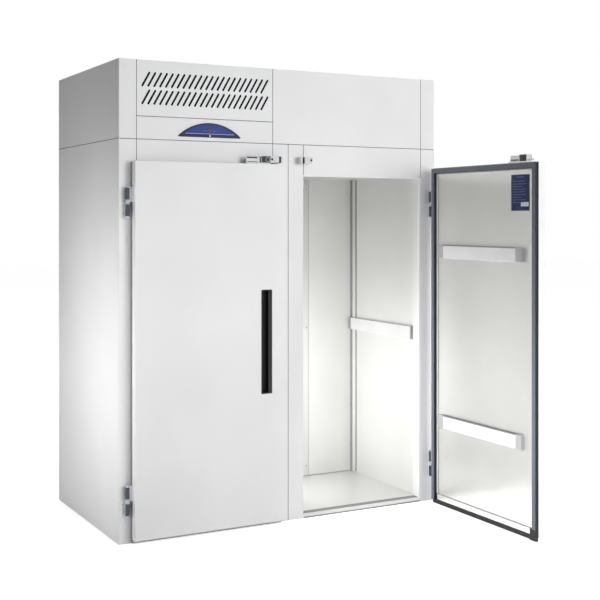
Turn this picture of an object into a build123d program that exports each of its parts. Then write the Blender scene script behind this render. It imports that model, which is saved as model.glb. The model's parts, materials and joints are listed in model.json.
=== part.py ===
from build123d import *
import os
from math import cos, radians

# Two-door roll-in refrigerator, in millimetres.
# The origin is on the floor at the centre of the carcass. +Z is up, the doors face -Y.
# The left door is shut and the right door stands open.

# Carcass
cabinet_w = 1920
cabinet_d = 964
deck_h = 2004            # top of the insulated body, where the machine cover starts
control_h = 115          # control fascia, the lower part of the machine cover
grille_h = 281           # grille panel above it
wall_t = 70              # side, rear and roof insulation with its sheets
sheet_t = 1.5
bend_r = 2.5             # outer radius of a folded sheet edge
partition_t = 60
post_w = 94
post_d = 70
mullion_half_w = 94
mullion_seam = 0.6       # between the two halves of the front mullion
header_h = 163           # from the top of the bay opening to the deck
floor_t = 18
liner_seam = 0.3         # between the side liners and the rear one
threshold_gap = 5        # dark groove between the threshold and the floor pan
threshold_lip = 8
threshold_h = 20
ramp_d = 18

# Air path inside each bay
duct_d = 146             # free depth behind the rear panel
duct_foot_gap = 3
ceiling_drop = 84        # free height between the ceiling panel and the roof
intake_slots = 9
intake_slot_w = 8
intake_slot_l = 150
intake_pitch = 18
trim_w = 12
trim_t = 2

# Wall and door bumper rails
rail_h = 74
rail_t = 22
rail_wall = 2.5
rail_r = 4
wall_rail_z = 950
wall_rail_setback = 27   # from the back of the front posts
wall_rail_rear_gap = 4

# Doors
door_t = 40
door_inset = 64          # from the side of the cabinet to the door's hinge edge
door_mid_inset = 48      # from the middle of the cabinet to the door's free edge
door_bottom = 22
door_overlap = 53        # of the door over the header
door_r = 3
gasket_t = 18
gasket_gap = 0.3
gasket_w = 28
gasket_inset = 4
right_door_angle = 90    # how far the right door stands open

door_rail_inset = 76     # from the hinge edge
door_rail_end = 102      # from the free edge
door_rail_low = 475
door_rail_drop = 470     # from the door's top to the upper rail

# Recessed pull
pull_w = 55
pull_h = 534
pull_depth = 30
pull_from_edge = 114     # centre of the pull to the door's free edge
pull_z = 967
pull_wall = 2
pull_rim_w = 4
pull_rim_t = 1.2
pull_lip_w = 16
pull_lip_t = 3

# Wiper along the foot of each door
wiper_t = 6
wiper_ground_gap = 3
wiper_top = 48
strip_t = 3
strip_bottom = 30
strip_top = 58
strip_inset = 50
end_block_w = 44
end_block_h = 38
end_block_t = 15

# Hinges
hinge_x = 38             # from the side of the cabinet to the pin
hinge_y = 20             # from the front of the cabinet to the pin
hinge_low = 215
hinge_drop = 204         # from the door's top to the upper hinge
hinge_h = 150
knuckle_r = 9
pin_r = 4
running_gap = 0.05
leaf_t = 3
leaf_w = 42
knuckle_split = 1        # gap between the two halves of a hinge
screw_head_r = 4.5
screw_head_t = 1.6
screw_pitch = 40

# Edge latch on top of each door, and its striker on the mullion
latch_from_edge = 91       # from the door's free edge
latch_l = 137
latch_d = 34
latch_base_t = 5
latch_h = 40
latch_r = 4
housing_l = 52
lock_r = 13
lock_t = 4
lock_from_end = 16
lever_l = 72
lever_h = 16
lever_t = 14
lever_r = 4.6
lever_eye_r = 10
lever_grip_h = 16
lever_grip_t = 8
grip_r = 2.6
lever_gap = 0.5
tongue_l = 33
tongue_t = 10
tongue_h = 9
tongue_lift = 7          # above the door's top
tongue_gap = 2.5
strike_l = 74
strike_d = 40
strike_h = 35
strike_lift = 8          # above the door's top
strike_gap = 11          # from the latch base to the striker
strike_slit_w = 12
strike_wall = 4

# Machine cover
cover_joint_h = 4        # shadow groove round its foot, on the sides and the back
cover_joint_d = 0.7
corner_w = 94
fascia_d = 20
slot_pitch = 32
slot_margin = 26         # least sheet left at either end of a row
slot_w = 11
slot_l = 86
slot_lean = 60           # from level, in degrees
slot_row_pitch = 88.5
filter_t = 10
filter_gap = 0.5         # round the filter in the grille panel
filter_frame = 14
filter_recess = 4        # of the foam behind its frame

# Control display
display_w = 364
display_h = 74
display_t = 5
display_offset = 16      # right of the middle of its panel
display_lift = 20        # above the panel's lower edge
display_nose_r = 4
display_edge_r = 2
window_w = 24
window_h = 13
window_lift = 34
window_t = 3
button_r = 4
button_gap = 0.3
button_travel = 1
button_proud = 1.5
button_lift = 8

# Condensing unit on the deck
tray_inset = 120         # from the side of the cabinet
tray_setback = 42        # from the front of the cabinet
tray_l = 730
tray_rear = 52           # from the back of the cabinet
tray_lip = 25
tray_t = 2
coil_l = 660
coil_h = 330
coil_d = 66
coil_inset = 20          # from the tray's end and its front
end_plate_t = 2
end_plate_proud = 6
fin_pitch = 10
fin_gap = 6
fin_groove = 3
shroud_t = 2
collar_r = 152
collar_t = 2
collar_l = 34
condenser_fan_r = 144
condenser_hub_r = 45
condenser_motor_r = 46
condenser_motor_l = 74
motor_edge_r = 4
arm_w = 16
arm_t = 4
compressor_r = 100
compressor_h = 250
compressor_dome = 35
compressor_foot = 230
compressor_foot_t = 12
compressor_x = 540       # from the tray's outer end
compressor_y = 560       # from the tray's front
receiver_r = 52
receiver_h = 220
receiver_dome = 20
feed_rise = 45           # above the receiver
feed_reach = 80          # sideways from the receiver
feed_inset = 60          # from the back of the tray
receiver_x = 610
receiver_y = 340
pipe_r = 6
pipe_bend_r = 30
pipe_gap = 0.3
pipe_inset = 34          # from the top or the foot of the coil
riser_gap = 38           # from the coil's end to the pipes that rise beside it
box_l = 110
box_w = 180
box_h = 220
box_x = 80
box_rear_gap = 180           # from the tray's back
gland_r = 12
gland_nut_r = 17
gland_nut_t = 6
gland_z = 110            # above the deck

# Evaporator and fan of each bay
evaporator_inset = 100   # from the walls of the bay
evaporator_d = 110
evaporator_drop = 70     # below the ceiling panel
evaporator_h = 380
evaporator_fan_r = 100
evaporator_hub_r = 32
evaporator_motor_r = 40
evaporator_motor_l = 36
evaporator_fan_setback = 422   # from the front of the cabinet
fan_gap = 4              # between a motor and its fan's hub

# Fan blades
blade_t = 2.5
blade_count = 5
blade_pitch = 28         # in degrees
condenser_chord = 56
evaporator_chord = 50
hub_l = 24
shaft_r = 4
shaft_end = 2            # hub left beyond the shaft

# Places that follow from the sizes above
half_w = cabinet_w / 2
front = -cabinet_d / 2
rear = cabinet_d / 2
cabinet_h = deck_h + control_h + grille_h
fascia_split_h = deck_h + control_h
opening_h = deck_h - header_h
inner_x = half_w - wall_t
inner_rear = rear - wall_t
roof_bottom = deck_h - wall_t
post_back = front + post_d
post_inner = half_w - post_w
duct_front = inner_rear - duct_d
ceiling_z = roof_bottom - ceiling_drop
evaporator_fan_y = front + evaporator_fan_setback
bay_near = partition_t / 2
bay_mid = (bay_near + inner_x) / 2
door_back = front - gasket_t
door_front = door_back - door_t
door_far = half_w - door_inset
door_near = door_mid_inset
door_top = opening_h + door_overlap
door_rail_z = (door_rail_low, door_top - door_rail_drop)
hinge_z = (hinge_low, door_top - hinge_drop)
pin_x = half_w - hinge_x
pin_y = front - hinge_y
panel_left = -(half_w - corner_w)
panel_mid = -mullion_half_w
panel_right = half_w - corner_w
on_plane = (Align.CENTER, Align.CENTER, Align.MIN)

os.makedirs("parts", exist_ok=True)


def cuboid(x, y, z, mode=Mode.ADD):
    # A box between two opposite corners, each side given as (low, high).
    with Locations(((x[0] + x[1]) / 2, (y[0] + y[1]) / 2, (z[0] + z[1]) / 2)):
        Box(x[1] - x[0], y[1] - y[0], z[1] - z[0], mode=mode)


def side_span(side, near, far):
    # Low and high x of something between two distances from the middle, on one side.
    return (near, far) if side > 0 else (-far, -near)


def rounded_front(x, y, z, radius):
    # A box whose four front edges are folded round.
    cuboid(x, y, z)
    fillet(faces(Select.LAST).sort_by(Axis.Y)[0].edges(), radius)


def folded_panel(x, z, depth):
    # A front panel with its edges turned back.
    rounded_front(x, (front, front + depth), z, bend_r)
    cuboid((x[0] + sheet_t, x[1] - sheet_t), (front + sheet_t, front + depth),
           (z[0] + sheet_t, z[1] - sheet_t), Mode.SUBTRACT)


def save(piece, name):
    piece.part.label = name
    export_step(piece.part, f"parts/{name}.step")


def save_door_piece(piece, side, name):
    # The right door's pieces are modelled shut and then swung out about its pins.
    hand = "left"
    if side > 0:
        hand = "right"
        piece.part = piece.part.rotate(Axis((pin_x, pin_y, 0), (0, 0, 1)), right_door_angle)
    save(piece, f"{hand}_{name}")


# Outer side sheets, turned in under the wall

for side, hand in ((-1, "left"), (1, "right")):
    with BuildPart() as side_panel:
        cuboid(side_span(side, half_w - sheet_t, half_w), (front, rear), (0, deck_h))
        cuboid(side_span(side, inner_x, half_w), (post_back, rear), (0, sheet_t))
    save(side_panel, f"side_panel_{hand}")

with BuildPart() as back_panel:
    cuboid((-half_w + sheet_t, half_w - sheet_t), (rear - sheet_t, rear), (sheet_t, deck_h))
    cuboid((-inner_x, inner_x), (inner_rear, rear), (0, sheet_t))
save(back_panel, "back_panel")

# Front frame: folded box sections with foam inside

post_x = (post_inner, half_w - sheet_t)
header_x = (mullion_half_w, post_inner)
mullion_x = (mullion_seam / 2, mullion_half_w)
frame_y = (front, post_back)


def box_section(side, x, z, run):
    # A folded box section, open at both ends of its run.
    rounded_front(side_span(side, *x), frame_y, z, bend_r)
    inset_x = sheet_t if run == "z" else -sheet_t
    inset_z = -sheet_t if run == "z" else sheet_t
    cuboid(side_span(side, x[0] + inset_x, x[1] - inset_x),
           (front + sheet_t, post_back - sheet_t),
           (z[0] + inset_z, z[1] - inset_z), Mode.SUBTRACT)


with BuildPart() as posts:
    for side in (-1, 1):
        box_section(side, post_x, (0, deck_h), "z")
save(posts, "posts")

with BuildPart() as headers:
    for side in (-1, 1):
        box_section(side, header_x, (opening_h, deck_h), "x")
save(headers, "headers")

with BuildPart() as mullions:
    for side in (-1, 1):
        box_section(side, mullion_x, (0, deck_h), "z")
save(mullions, "mullions")

# Roof: a closed tray of sheet under the machine cover

roof_x = (-half_w + sheet_t, half_w - sheet_t)
roof_y = (post_back, rear - sheet_t)
with BuildPart() as roof_panel:
    cuboid(roof_x, roof_y, (roof_bottom, deck_h))
    cuboid((roof_x[0] + sheet_t, roof_x[1] - sheet_t), (roof_y[0] + sheet_t, roof_y[1] - sheet_t),
           (roof_bottom + sheet_t, deck_h - sheet_t), Mode.SUBTRACT)
save(roof_panel, "roof_panel")

# Wall between the two bays

partition_y = (post_back, inner_rear)
with BuildPart() as partition:
    cuboid((-bay_near, bay_near), partition_y, (0, roof_bottom))
    cuboid((-bay_near + sheet_t, bay_near - sheet_t), (post_back + sheet_t, inner_rear - sheet_t),
           (sheet_t, roof_bottom - sheet_t), Mode.SUBTRACT)
save(partition, "partition")

# Foam in the walls, the roof, the partition and the front frame

foam_x = inner_x + sheet_t
with BuildPart() as wall_insulation:
    for side in (-1, 1):
        cuboid(side_span(side, foam_x, half_w - sheet_t), (post_back, rear - sheet_t),
               (sheet_t, roof_bottom))
        for x in (post_x, mullion_x):
            cuboid(side_span(side, x[0] + sheet_t, x[1] - sheet_t),
                   (front + sheet_t, post_back - sheet_t), (sheet_t, deck_h - sheet_t))
        cuboid(side_span(side, *header_x), (front + sheet_t, post_back - sheet_t),
               (opening_h + sheet_t, deck_h - sheet_t))
    cuboid((-foam_x, foam_x), (inner_rear + sheet_t, rear - sheet_t), (sheet_t, roof_bottom))
    cuboid((roof_x[0] + sheet_t, roof_x[1] - sheet_t), (roof_y[0] + sheet_t, roof_y[1] - sheet_t),
           (roof_bottom + sheet_t, deck_h - sheet_t))
    cuboid((-bay_near + sheet_t, bay_near - sheet_t), (post_back + sheet_t, inner_rear - sheet_t),
           (sheet_t, roof_bottom - sheet_t))
save(wall_insulation, "wall_insulation")

# Inner liners of the side walls and the rear wall

with BuildPart() as wall_liners:
    for side in (-1, 1):
        cuboid(side_span(side, inner_x, foam_x), (post_back, inner_rear - liner_seam),
               (sheet_t, roof_bottom))
    cuboid((-foam_x, foam_x), (inner_rear, inner_rear + sheet_t), (sheet_t, roof_bottom))
save(wall_liners, "wall_liners")

# Floor pans and the low thresholds in front of them

with BuildPart() as floor_pans:
    for side in (-1, 1):
        cuboid(side_span(side, bay_near, inner_x), (post_back, inner_rear), (0, floor_t))
save(floor_pans, "floor_pans")

threshold_d = post_d - threshold_gap
with BuildPart() as thresholds:
    for side in (-1, 1):
        start, stop = side_span(side, mullion_half_w, post_inner)
        with BuildSketch(Plane.YZ.offset(start)):
            Polygon((front, 0), (front, threshold_lip), (front + ramp_d, threshold_h),
                    (front + threshold_d, threshold_h), (front + threshold_d, 0), align=None)
        extrude(amount=stop - start)
save(thresholds, "thresholds")

# Rear air duct panels, ceiling panels and corner trims

with BuildPart() as duct_panels:
    for side in (-1, 1):
        cuboid(side_span(side, bay_near, inner_x), (duct_front, duct_front + sheet_t),
               (floor_t + duct_foot_gap, ceiling_z))
save(duct_panels, "duct_panels")

with BuildPart() as ceiling_panels:
    for side in (-1, 1):
        cuboid(side_span(side, bay_near, inner_x), (post_back, duct_front + sheet_t),
               (ceiling_z, ceiling_z + sheet_t))
        with BuildSketch(Plane.XY.offset(ceiling_z)):
            with Locations((side * bay_mid, evaporator_fan_y)):
                with GridLocations(intake_pitch, 0, intake_slots, 1):
                    SlotOverall(intake_slot_l, intake_slot_w, rotation=90)
        extrude(amount=sheet_t, mode=Mode.SUBTRACT)
save(ceiling_panels, "ceiling_panels")

with BuildPart() as corner_trims:
    for side in (-1, 1):
        for wall, inward in ((inner_x, -1), (bay_near, 1)):
            edge = wall + inward * trim_w
            low, high = min(wall, edge), max(wall, edge)
            cuboid(side_span(side, low, high), (duct_front - trim_t, duct_front), (floor_t, ceiling_z))
            face = wall + inward * trim_t
            low, high = min(wall, face), max(wall, face)
            cuboid(side_span(side, low, high), (duct_front - trim_w, duct_front - trim_t),
                   (floor_t, ceiling_z))
save(corner_trims, "corner_trims")

# Bumper rails on both walls of each bay

wall_rail_y = (post_back + wall_rail_setback, duct_front - trim_w - wall_rail_rear_gap)
with BuildPart() as wall_bumpers:
    for side in (-1, 1):
        for wall, inward in ((inner_x, -1), (bay_near, 1)):
            face = wall + inward * rail_t
            cuboid(side_span(side, min(wall, face), max(wall, face)), wall_rail_y,
                   (wall_rail_z - rail_h / 2, wall_rail_z + rail_h / 2))
    room_faces = [f for f in faces().filter_by(Axis.X)
                  if abs(abs(f.center().X) - inner_x) > 0.5 and abs(abs(f.center().X) - bay_near) > 0.5]
    fillet([e for f in room_faces for e in f.edges()], rail_r)
    for side in (-1, 1):
        for wall, inward in ((inner_x, -1), (bay_near, 1)):
            face = wall + inward * (rail_t - rail_wall)
            cuboid(side_span(side, min(wall, face), max(wall, face)),
                   (wall_rail_y[0] + rail_wall, wall_rail_y[1] - rail_wall),
                   (wall_rail_z - rail_h / 2 + rail_wall, wall_rail_z + rail_h / 2 - rail_wall),
                   Mode.SUBTRACT)
save(wall_bumpers, "wall_bumpers")

# Doors, modelled shut

door_z = (door_bottom, door_top)
core_y = (door_front + sheet_t, door_back - sheet_t)
pull_x = door_near + pull_from_edge
pull_zs = (pull_z - pull_h / 2, pull_z + pull_h / 2)
gasket_y = (door_back, front - gasket_gap)


def pull_span(side, trim=0):
    return side_span(side, pull_x - pull_w / 2 + trim, pull_x + pull_w / 2 - trim)


for side in (-1, 1):
    door_x = side_span(side, door_near, door_far)
    inside_x = side_span(side, door_near + sheet_t, door_far - sheet_t)
    inside_z = (door_bottom + sheet_t, door_top - sheet_t)

    with BuildPart() as door_skin:
        rounded_front(door_x, (door_front, door_back), door_z, door_r)
        cuboid(inside_x, (door_front + sheet_t, door_back), inside_z, Mode.SUBTRACT)
        cuboid(pull_span(side), (door_front, door_front + sheet_t), pull_zs, Mode.SUBTRACT)
    save_door_piece(door_skin, side, "door_skin")

    with BuildPart() as door_core:
        cuboid(inside_x, core_y, inside_z)
        fillet(edges().filter_by(Axis.Z).group_by(Axis.Y)[0], door_r - sheet_t)
        cuboid(pull_span(side), (door_front, door_front + pull_depth), pull_zs, Mode.SUBTRACT)
    save_door_piece(door_core, side, "door_core")

    # Inner sheet, and the clamp strip that holds the wiper against it
    strip_y = (door_back + wiper_t, door_back + wiper_t + strip_t)
    with BuildPart() as door_liner:
        cuboid(inside_x, (door_back - sheet_t, door_back), inside_z)
        cuboid(side_span(side, door_near + strip_inset, door_far - strip_inset), strip_y,
               (strip_bottom, strip_top))
    save_door_piece(door_liner, side, "door_liner")

    # Gasket on three sides, with the free leg ending above the wiper's end block
    gasket_near = door_near + gasket_inset
    gasket_far = door_far - gasket_inset
    gasket_top = door_top - gasket_inset
    block_top = door_bottom + end_block_h
    with BuildPart() as door_gasket:
        cuboid(side_span(side, gasket_near, gasket_far), gasket_y, (gasket_top - gasket_w, gasket_top))
        cuboid(side_span(side, gasket_near, gasket_near + gasket_w), gasket_y, (block_top, gasket_top))
        cuboid(side_span(side, gasket_far - gasket_w, gasket_far), gasket_y, (door_bottom, gasket_top))
    save_door_piece(door_gasket, side, "door_gasket")

    # Rubber wiper: full width below the door, between the gasket legs above its foot
    with BuildPart() as door_wiper:
        cuboid(side_span(side, gasket_near, gasket_far), (door_back, door_back + wiper_t),
               (wiper_ground_gap, door_bottom))
        cuboid(side_span(side, gasket_near, gasket_far - gasket_w), (door_back, door_back + wiper_t),
               (door_bottom, wiper_top))
        cuboid(side_span(side, gasket_near, gasket_near + end_block_w),
               (door_back, door_back + end_block_t), (wiper_ground_gap, block_top))
    save_door_piece(door_wiper, side, "door_wiper")

    # Recessed pull: a cup with a thin rim, and a lip on its free side to hook fingers behind
    lip_near = pull_x - pull_w / 2 + pull_wall
    with BuildPart() as door_pull:
        cuboid(pull_span(side, -pull_rim_w), (door_front - pull_rim_t, door_front),
               (pull_zs[0] - pull_rim_w, pull_zs[1] + pull_rim_w))
        fillet(edges().filter_by(Axis.Y), pull_rim_w)
        cuboid(pull_span(side), (door_front, door_front + pull_depth), pull_zs)
        cuboid(pull_span(side, pull_wall), (door_front - pull_rim_t, door_front + pull_depth - pull_wall),
               (pull_zs[0] + pull_wall, pull_zs[1] - pull_wall), Mode.SUBTRACT)
        cuboid(side_span(side, lip_near, lip_near + pull_lip_w),
               (door_front - pull_rim_t, door_front - pull_rim_t + pull_lip_t),
               (pull_zs[0] + pull_wall, pull_zs[1] - pull_wall))
    save_door_piece(door_pull, side, "door_pull")

    # Two bumper rails on the inner sheet
    rail_x = side_span(side, door_near + door_rail_end, door_far - door_rail_inset)
    with BuildPart() as door_bumpers:
        for z in door_rail_z:
            cuboid(rail_x, (door_back, door_back + rail_t), (z - rail_h / 2, z + rail_h / 2))
        fillet([e for f in faces().group_by(Axis.Y)[-1] for e in f.edges()], rail_r)
        for z in door_rail_z:
            cuboid((rail_x[0] + rail_wall, rail_x[1] - rail_wall), (door_back, door_back + rail_t - rail_wall),
                   (z - rail_h / 2 + rail_wall, z + rail_h / 2 - rail_wall), Mode.SUBTRACT)
    save_door_piece(door_bumpers, side, "door_bumpers")

    # Upper hinge halves: knuckle, arm and a leaf on the door's edge
    with BuildPart() as hinge_door_halves:
        for z in hinge_z:
            low = z + knuckle_split / 2
            high = z + hinge_h / 2
            with BuildSketch(Plane.XY.offset(low)):
                with Locations((side * pin_x, pin_y)):
                    Circle(knuckle_r)
                with Locations((side * (pin_x + door_far) / 2, pin_y)):
                    Rectangle(pin_x - door_far, knuckle_r)
                with Locations((side * (door_far + leaf_t / 2), (door_front + door_r + door_back) / 2)):
                    Rectangle(leaf_t, door_t - door_r)
                with Locations((side * pin_x, pin_y)):
                    Circle(pin_r + running_gap, mode=Mode.SUBTRACT)
            extrude(amount=high - low)
    save_door_piece(hinge_door_halves, side, "hinge_door_halves")

    # Latch along the top edge: base, housing with its round lock, lever pin and tongue
    base_near = door_near + latch_from_edge
    base_far = base_near + latch_l
    latch_mid_y = (door_front + door_back) / 2
    latch_y = (latch_mid_y - latch_d / 2, latch_mid_y + latch_d / 2)
    latch_z = door_top + latch_base_t
    latch_top = door_top + latch_h
    lock_place = (side * (base_near + lock_from_end), latch_y[0], (latch_z + latch_top) / 2)
    lever_x = base_near + housing_l + lever_eye_r + lever_gap
    lever_z = latch_z + lever_gap
    grip_z = lever_z + lever_h
    tongue_z = door_top + tongue_lift
    with BuildPart() as latch_body:
        cuboid(side_span(side, base_near, base_near + housing_l), latch_y, (latch_z, latch_top))
        fillet(edges().filter_by(Axis.Z) + faces().sort_by(Axis.Z)[-1].edges(), latch_r)
        cuboid(side_span(side, base_near, base_far), latch_y, (door_top, latch_z))
        with Locations(Plane(lock_place, z_dir=(0, -1, 0))):
            Cylinder(lock_r, lock_t, align=on_plane)
        with Locations((side * lever_x, latch_mid_y, latch_z)):
            Cylinder(pin_r, latch_top - latch_z, align=on_plane)
        cuboid(side_span(side, base_near - tongue_l, base_near),
               (latch_mid_y - tongue_t / 2, latch_mid_y + tongue_t / 2), (tongue_z, tongue_z + tongue_h))
    save_door_piece(latch_body, side, "latch_body")

    # Lever: an eye on the latch's pin, a bar towards the hinge side and a thinner grip above it
    with BuildPart() as latch_lever:
        with BuildSketch(Plane.XY.offset(lever_z)):
            with Locations((side * lever_x, latch_mid_y)):
                Circle(lever_eye_r)
            with Locations((side * (lever_x + lever_l / 2), latch_mid_y)):
                RectangleRounded(lever_l, lever_t, lever_r)
        extrude(amount=lever_h)
        with BuildSketch(Plane.XY.offset(grip_z)):
            with Locations((side * lever_x, latch_mid_y)):
                Circle(lever_eye_r)
            with Locations((side * (lever_x + lever_l / 2), latch_mid_y)):
                RectangleRounded(lever_l, lever_grip_t, grip_r)
        extrude(amount=lever_grip_h)
        with Locations((side * lever_x, latch_mid_y, grip_z)):
            Hole(pin_r + running_gap)
    save_door_piece(latch_lever, side, "latch_lever")

# Lower hinge halves on the posts: leaf, arm, knuckle and the pin that stands up from it

with BuildPart() as hinge_frame_halves:
    for side in (-1, 1):
        for z in hinge_z:
            low = z - hinge_h / 2
            high = z - knuckle_split / 2
            with BuildSketch(Plane.XY.offset(low)):
                with Locations((side * pin_x, pin_y)):
                    Circle(knuckle_r)
                with Locations((side * pin_x, (pin_y + front) / 2)):
                    Rectangle(knuckle_r, front - pin_y)
                with Locations((side * (pin_x + knuckle_r / 2), front - leaf_t / 2)):
                    Rectangle(leaf_w, leaf_t)
            extrude(amount=high - low)
            with Locations((side * pin_x, pin_y, high)):
                Cylinder(pin_r, hinge_h / 2, align=on_plane)
save(hinge_frame_halves, "hinge_frame_halves")

with BuildPart() as hinge_screws:
    for side in (-1, 1):
        for z in hinge_z:
            for step in (-0.5, 0.5):
                place = (side * (pin_x + knuckle_r / 2 + leaf_w / 3), front - leaf_t - screw_head_t / 2,
                         z - hinge_h / 4 + step * screw_pitch)
                with Locations(place):
                    Cylinder(screw_head_r, screw_head_t, rotation=(90, 0, 0))
save(hinge_screws, "hinge_screws")

# Strikers on the mullion, each notched below for the latch's tongue

strike_far = base_near - strike_gap
strike_z = (door_top + strike_lift, door_top + strike_lift + strike_h)
notch_l = tongue_l - strike_gap + tongue_gap
notch_top = tongue_z + tongue_h + tongue_gap
notch_back = latch_mid_y + tongue_t / 2 + tongue_gap
slit_x = (strike_far - strike_l + strike_slit_w, strike_far - strike_l + 2 * strike_slit_w)
with BuildPart() as strikers:
    for side in (-1, 1):
        rounded_front(side_span(side, strike_far - strike_l, strike_far), (front - strike_d, front),
                      strike_z, bend_r)
        cuboid(side_span(side, strike_far - notch_l, strike_far), (front - strike_d, notch_back),
               (strike_z[0], notch_top), Mode.SUBTRACT)
        cuboid(side_span(side, *slit_x), (front - strike_d, front - strike_wall), strike_z, Mode.SUBTRACT)
save(strikers, "strikers")

# Machine cover: corner pieces with the sides, back and front panels, open above the machinery

tray_x = (-half_w + tray_inset, -half_w + tray_inset + tray_l)
tray_y = (front + tray_setback, rear - tray_rear)
tray_top = deck_h + tray_t
cover_z = (deck_h, cabinet_h)
joint_z = (deck_h, deck_h + cover_joint_h)
gland_x = tray_x[0] + box_x

for side, hand in ((-1, "left"), (1, "right")):
    with BuildPart() as canopy_side:
        folded_panel(side_span(side, half_w - corner_w, half_w), cover_z, fascia_d)
        cuboid(side_span(side, half_w - sheet_t, half_w), (front + fascia_d, rear), cover_z)
        cuboid(side_span(side, half_w - fascia_d, half_w - sheet_t), (front + fascia_d, rear - sheet_t),
               (cabinet_h - sheet_t, cabinet_h))
        cuboid(side_span(side, half_w - cover_joint_d, half_w), (front + bend_r, rear), joint_z, Mode.SUBTRACT)
    save(canopy_side, f"canopy_side_{hand}")

with BuildPart() as canopy_back:
    cuboid((-half_w + sheet_t, half_w - sheet_t), (rear - sheet_t, rear), cover_z)
    cuboid((-half_w + sheet_t, half_w - sheet_t), (rear - cover_joint_d, rear), joint_z, Mode.SUBTRACT)
    with Locations(Plane((gland_x, rear, deck_h + gland_z), z_dir=(0, 1, 0))):
        Hole(gland_r)
save(canopy_back, "canopy_back")

grille_z = (fascia_split_h, cabinet_h)
slot_reach = slot_l * cos(radians(slot_lean))
slot_count = int((panel_mid - panel_left - slot_reach - 2 * slot_margin) / slot_pitch) + 1
with BuildPart() as grille_panel:
    folded_panel((panel_left, panel_mid), grille_z, fascia_d)
    with BuildSketch(Plane.XZ.offset(-front)):
        with Locations(((panel_left + panel_mid) / 2, (fascia_split_h + cabinet_h) / 2)):
            with GridLocations(slot_pitch, slot_row_pitch, slot_count, 2):
                SlotOverall(slot_l, slot_w, rotation=slot_lean)
    extrude(amount=-sheet_t, mode=Mode.SUBTRACT)
save(grille_panel, "grille_panel")

# Air filter in the pan of the grille panel: a frame with thinner foam in it

filter_x = (panel_left + sheet_t + filter_gap, panel_mid - sheet_t - filter_gap)
filter_y = (front + sheet_t, front + sheet_t + filter_t)
filter_z = (grille_z[0] + sheet_t + filter_gap, grille_z[1] - sheet_t - filter_gap)
with BuildPart() as air_filter:
    cuboid(filter_x, filter_y, filter_z)
    cuboid((filter_x[0] + filter_frame, filter_x[1] - filter_frame), (filter_y[1] - filter_recess, filter_y[1]),
           (filter_z[0] + filter_frame, filter_z[1] - filter_frame), Mode.SUBTRACT)
save(air_filter, "air_filter")

with BuildPart() as control_fascia:
    folded_panel((panel_left, panel_mid), (deck_h, fascia_split_h), fascia_d)
save(control_fascia, "control_fascia")

with BuildPart() as plain_fascia:
    folded_panel((panel_mid, panel_right), cover_z, fascia_d)
save(plain_fascia, "plain_fascia")

# Control display: a half-moon moulding with a small window, and a push button below the window

display_x = (panel_left + panel_mid) / 2 + display_offset
display_z = deck_h + display_lift
display_front = front - display_t
window_mid = (display_x, display_z + window_lift)
button_place = Plane((display_x, display_front, display_z + button_lift), z_dir=(0, -1, 0))

with BuildPart() as display_bezel:
    with BuildSketch(Plane.XZ.offset(-front)):
        with BuildLine():
            Line((display_x - display_w / 2, display_z), (display_x + display_w / 2, display_z))
            ThreePointArc((display_x - display_w / 2, display_z), (display_x, display_z + display_h),
                          (display_x + display_w / 2, display_z))
        make_face()
        fillet(vertices(), display_nose_r)
    extrude(amount=display_t)
    fillet(faces().sort_by(Axis.Y)[0].edges(), display_edge_r)
    cuboid((window_mid[0] - window_w / 2, window_mid[0] + window_w / 2),
           (display_front, display_front + window_t),
           (window_mid[1] - window_h / 2, window_mid[1] + window_h / 2), Mode.SUBTRACT)
    with Locations(button_place):
        Hole(button_r + button_gap)
save(display_bezel, "display_bezel")

with BuildPart() as display_window:
    cuboid((window_mid[0] - window_w / 2, window_mid[0] + window_w / 2),
           (display_front, display_front + window_t),
           (window_mid[1] - window_h / 2, window_mid[1] + window_h / 2))
save(display_window, "display_window")

button_l = display_t + button_proud - button_travel - button_gap
with BuildPart(button_place.offset(button_proud)) as set_button:
    Cylinder(button_r, button_l, align=(Align.CENTER, Align.CENTER, Align.MAX))
    fillet(edges().filter_by(GeomType.CIRCLE).sort_by(Axis.Y)[0], button_gap)
save(set_button, "set_button")

# Condensing unit: tray, finned coil, shroud, compressor, receiver, piping and control box

coil_x = (tray_x[0] + coil_inset, tray_x[0] + coil_inset + coil_l)
coil_y = (tray_y[0] + coil_inset, tray_y[0] + coil_inset + coil_d)
coil_z = (tray_top, tray_top + coil_h)
coil_mid = ((coil_x[0] + coil_x[1]) / 2, (coil_z[0] + coil_z[1]) / 2)

with BuildPart() as unit_tray:
    cuboid(tray_x, tray_y, (deck_h, deck_h + tray_lip))
    cuboid((tray_x[0] + tray_t, tray_x[1] - tray_t), (tray_y[0] + tray_t, tray_y[1] - tray_t),
           (tray_top, deck_h + tray_lip), Mode.SUBTRACT)
save(unit_tray, "unit_tray")


def fin_comb(x, y):
    # Section of a finned block: a rectangle with grooves between the fins on both faces.
    with Locations(((x[0] + x[1]) / 2, (y[0] + y[1]) / 2)):
        Rectangle(x[1] - x[0], y[1] - y[0])
        with GridLocations(fin_pitch, y[1] - y[0], int((x[1] - x[0]) / fin_pitch) - 1, 2):
            Rectangle(fin_gap, 2 * fin_groove, mode=Mode.SUBTRACT)


def end_plates(x, y, z):
    # The two plates that hold the ends of a finned block.
    cuboid((x[0] - end_plate_t, x[0]), y, z)
    cuboid((x[1], x[1] + end_plate_t), y, z)


with BuildPart() as condenser_coil:
    with BuildSketch(Plane.XY.offset(coil_z[0])):
        fin_comb(coil_x, coil_y)
    extrude(amount=coil_h)
    end_plates(coil_x, (coil_y[0] - end_plate_proud, coil_y[1]), coil_z)
save(condenser_coil, "condenser_coil")

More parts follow.
